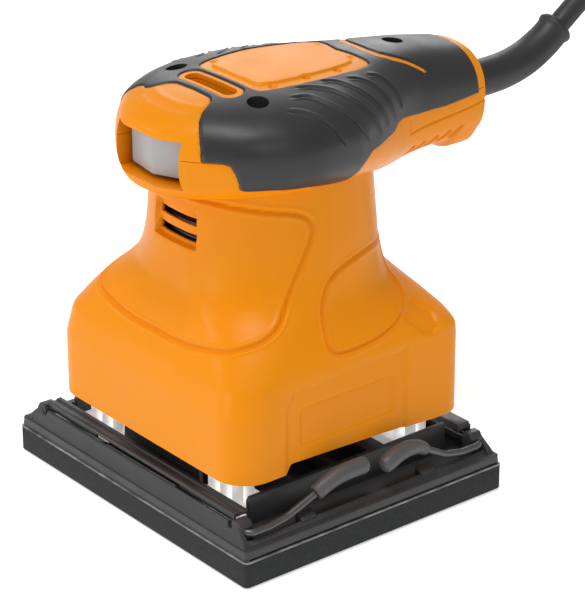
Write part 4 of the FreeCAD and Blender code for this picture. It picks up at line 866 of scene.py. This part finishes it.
def base():
    """The plate in one moulding: slab, hub, skirts, rims, foot walls, brackets and ribs."""
    slab = bevel(prism("plate", rounded(55.3, 47.8, 1.2), 8.0, 11.0), 0.25, 2)
    parts = [slab, bevel(prism("hub", disc(16.9, count=72), 8.2, 21.0), 0.5, 2)]
    parts += both_ends(skirt)
    for side in (-1, 1):
        parts.append(side_rim(side))
        low, high = sorted((side * 41.4, side * 43.0))
        wall = ((-37.0, 8.4), (37.0, 8.4), (37.0, 19.9), (-36.2, 19.6), (-37.0, 18.4))
        parts.append(bevel(prism("wall", wall, low, high, "x"), 0.25, 2))
        for end in (-1, 1):
            parts += brackets(side, end)
            low, high = sorted((end * 19.8, end * 25.4))
            wedge = ((49.0, 8.2), (52.2, 8.2), (52.2, 12.4), (50.0, 13.6), (49.0, 13.6))
            if side > 0:
                parts.append(bevel(prism("catch", wedge, low, high, "y"), 0.35, 2))
        low, high = sorted((side * 17.0, side * 41.6))
        for y in (-14.0, 0.0, 14.0):
            parts.append(box("rib", (low, y - 0.8, 8.4), (high, y + 0.8, 15.5)))
    for end in (-1, 1):
        low, high = sorted((end * 34.6, end * 36.0))
        parts.append(bevel(box("cross", (-18.4, low, 8.4), (18.4, high, 20.2)), 0.2, 2))
        low, high = sorted((end * 16.5, end * 34.8))
        parts.append(box("rib", (-0.9, low, 8.4), (0.9, high, 15.8)))
    for obj in parts:
        obj.data.shade_flat()
    whole = join("plate_moulding", parts)
    seat = prism("seat", disc(13.02, count=72), 12.9, 22)
    whole = cut_with(whole, seat)
    return finish_piece(smooth_by_angle(whole, 30), PLATE, "orbiting_pad", "plate_plastic",
                        "base_plate")


def foam():
    """The foam pad, and a thin pale strip round its top edge where it meets the plate: a painted
    highlight.
    """
    block = bevel(prism("foam_block", rounded(55.9, 48.4, 1.6), 0.02, 7.75), 0.35, 3)
    finish_piece(block, FOAM, "orbiting_pad", "foam", "foam_pad")
    # painted highlight: a thin pale strip round the foam's top edge
    edge_highlight = prism("foam_edge_painted_highlight", rounded(55.93, 48.43, 1.6), 7.7, 7.86)
    finish_piece(edge_highlight, FOAM_EDGE_HIGHLIGHT, "orbiting_pad", "foam")


JAW_HALF, CRANK_HALF = 45.8, 20.5


def jaw(end):
    """Pressed strip over the clamp wire. Its outer lip is open over the wire's crank."""
    section = ((44.6, 16.0), (44.6, 18.4), (43.4, 18.5), (43.0, 18.1), (41.6, 18.1),
               (41.2, 18.5), (39.9, 18.5), (39.5, 18.0), (39.5, 11.5), (40.4, 11.5),
               (40.4, 17.2), (43.9, 17.2), (43.9, 16.0))
    strip = prism("jaw", [(end * y, z) for y, z in section], -JAW_HALF, JAW_HALF, "x")
    near, far = sorted((end * 43.5, end * 45.0))
    strip = cut_with(strip, box("crank_relief", (-CRANK_HALF, near, 15.5),
                                (CRANK_HALF, far, 17.2)))
    for side in (-1, 1):
        low, high = sorted((side * 19.5, side * 49.5))
        near, far = sorted((end * 37.6, end * 41.6))
        strip = cut_with(strip, box("clear", (low, near, 8.9), (high, far, 17.0)))
    if end > 0:
        for side in (-1, 1):
            low, high = sorted((side * 35.6, side * 45.4))
            block = bevel(box("block", (low, 39.7, 17.6), (high, 44.5, 19.2)), 0.3, 2)
            block.data.shade_flat()
            strip = cut_with(strip, block, "UNION")
    body = "front_clamp_jaw" if end < 0 else "rear_clamp_jaw"
    strip.name = "front_jaw_strip" if end < 0 else "rear_jaw_strip"
    label = "front_jaw" if end < 0 else "rear_jaw"
    return finish_piece(bevel(strip, 0.18, 2, 25), JAW, body, "jaw_steel", label)


def lever_sleeve(end):
    """Moulded sleeve on a clamp lever: square cut at the wire, rounded at its free end."""
    if end < 0:
        route = ((50.25, -18.8, 18.1), (50.3, -14.6, 20.0), (50.4, -10.4, 21.2),
                 (50.6, -6.4, 21.7), (50.8, -2.4, 21.8), (50.8, -0.4, 21.7))
        radii = ((0, 2.1), (0.02, 2.35), (0.5, 2.55), (0.86, 2.55), (0.94, 2.2), (0.985, 1.4),
                 (1, 0.6))
    else:
        route = ((50.5, 22.6, 18.9), (50.4, 19.6, 20.6), (50.6, 15.6, 21.4), (50.9, 11.4, 21.0),
                 (51.3, 7.6, 19.9), (51.4, 4.9, 18.8))
        radii = ((0, 1.7), (0.03, 1.95), (0.35, 2.35), (0.8, 2.6), (0.92, 2.35), (0.98, 1.5),
                 (1, 0.6))
    run = spline_points(route, 10)
    share = np.linspace(0, 1, len(run))
    width = np.interp(share, *np.array(radii).T)
    name = "front" if end < 0 else "rear"
    return finish_piece(smooth_by_angle(sweep(name + "_sleeve", run, width, 32), 50), SLEEVE,
                        name + "_clamp_lever", "lever_rubber", name + "_lever_grip")


def foot(side, end, label):
    """Flexible post: flange, six round columns and a head in the housing."""
    near, far = sorted((end * 25.1, end * 38.5))
    low, high = sorted((side * 20.1, side * 41.1))
    flange = bevel(box("flange", (low, near, 11.0), (high, far, 13.9)), 0.5, 3)
    for step in (0, 1):
        hole = prism("hole", disc(1.35, side * (24.5 + 13 * step), end * 27.2), 10, 15)
        flange = cut_with(flange, hole)
    parts = [smooth_by_angle(flange)]
    for column in range(3):
        for row in range(2):
            x = side * (23.4 + 5.6 * column)
            y = end * (30.6 + 3.9 * row)
            parts.append(smooth_by_angle(prism("column", disc(1.65, x, y, 24), 13.5, 24.2)))
    low, high = sorted((side * 21.6, side * 36.4))
    near, far = sorted((end * 28.9, end * 36.2))
    parts.append(bevel(box("head", (low, near, 23.5), (high, far, 30.4)), 0.5, 2))
    foot_piece = smooth_by_angle(join(label + "_post", parts), 40)
    return finish_piece(foot_piece, WHITE, "orbiting_pad", "white_foot", label)


base()
foam()
both_ends(jaw)
both_ends(lever_sleeve)
for side, end, label in ((1, -1, "foot_front_left"), (-1, -1, "foot_front_right"),
                         (1, 1, "foot_rear_left"), (-1, 1, "foot_rear_right")):
    foot(side, end, label)

# ---------------------------------------------------------------- room
FLOOR_REACH, FLOOR_HEIGHT = 4000, -0.3
FLOOR_GLOW = 0.45
SKY_STRENGTH = 0.4

plain = material("studio_floor", (0.9, 0.9, 0.9), 0.6, 0.01, 3, 0.1, 400)
floor_corners = [(x * FLOOR_REACH, y * FLOOR_REACH, FLOOR_HEIGHT)
                 for x, y in ((-1, -1), (1, -1), (1, 1), (-1, 1))]
floor = mesh_object("floor", floor_corners, [[0, 1, 2, 3]], False)
floor.data.materials.append(plain)
lit(plain, FLOOR_GLOW)
world = bpy.data.worlds.new("Studio")
world.use_nodes = True
world.node_tree.nodes["Background"].inputs["Color"].default_value = (1, 1, 1, 1)
world.node_tree.nodes["Background"].inputs["Strength"].default_value = SKY_STRENGTH
bpy.context.scene.world = world


def lamp(name, place, aim, size, power):
    """A square lamp, in metres and watts, turned towards a point."""
    data = bpy.data.lights.new(name, "AREA")
    data.shape = "SQUARE"
    data.size = size
    data.energy = power
    obj = link(name, data)
    obj.location = place
    obj.rotation_mode = "QUATERNION"
    obj.rotation_quaternion = (Vector(aim) - Vector(place)).to_track_quat("-Z", "Y")
    return obj


lamp("key", (-0.8, -0.95, 0.8), (0, 0, 0.07), 0.45, 3.4)
lamp("fill", (1.2, -0.3, 0.9), (0, 0, 0.07), 0.5, 1.6)
lamp("top", (0.1, -0.25, 1.25), (0, 0.02, 0.1), 0.4, 6.5)
lamp("rim", (-0.95, 0.85, 0.6), (0, 0.02, 0.1), 0.7, 4)
lamp("low", (-0.1, -1.2, 0.14), (0, 0, 0.02), 0.25, 1.5)
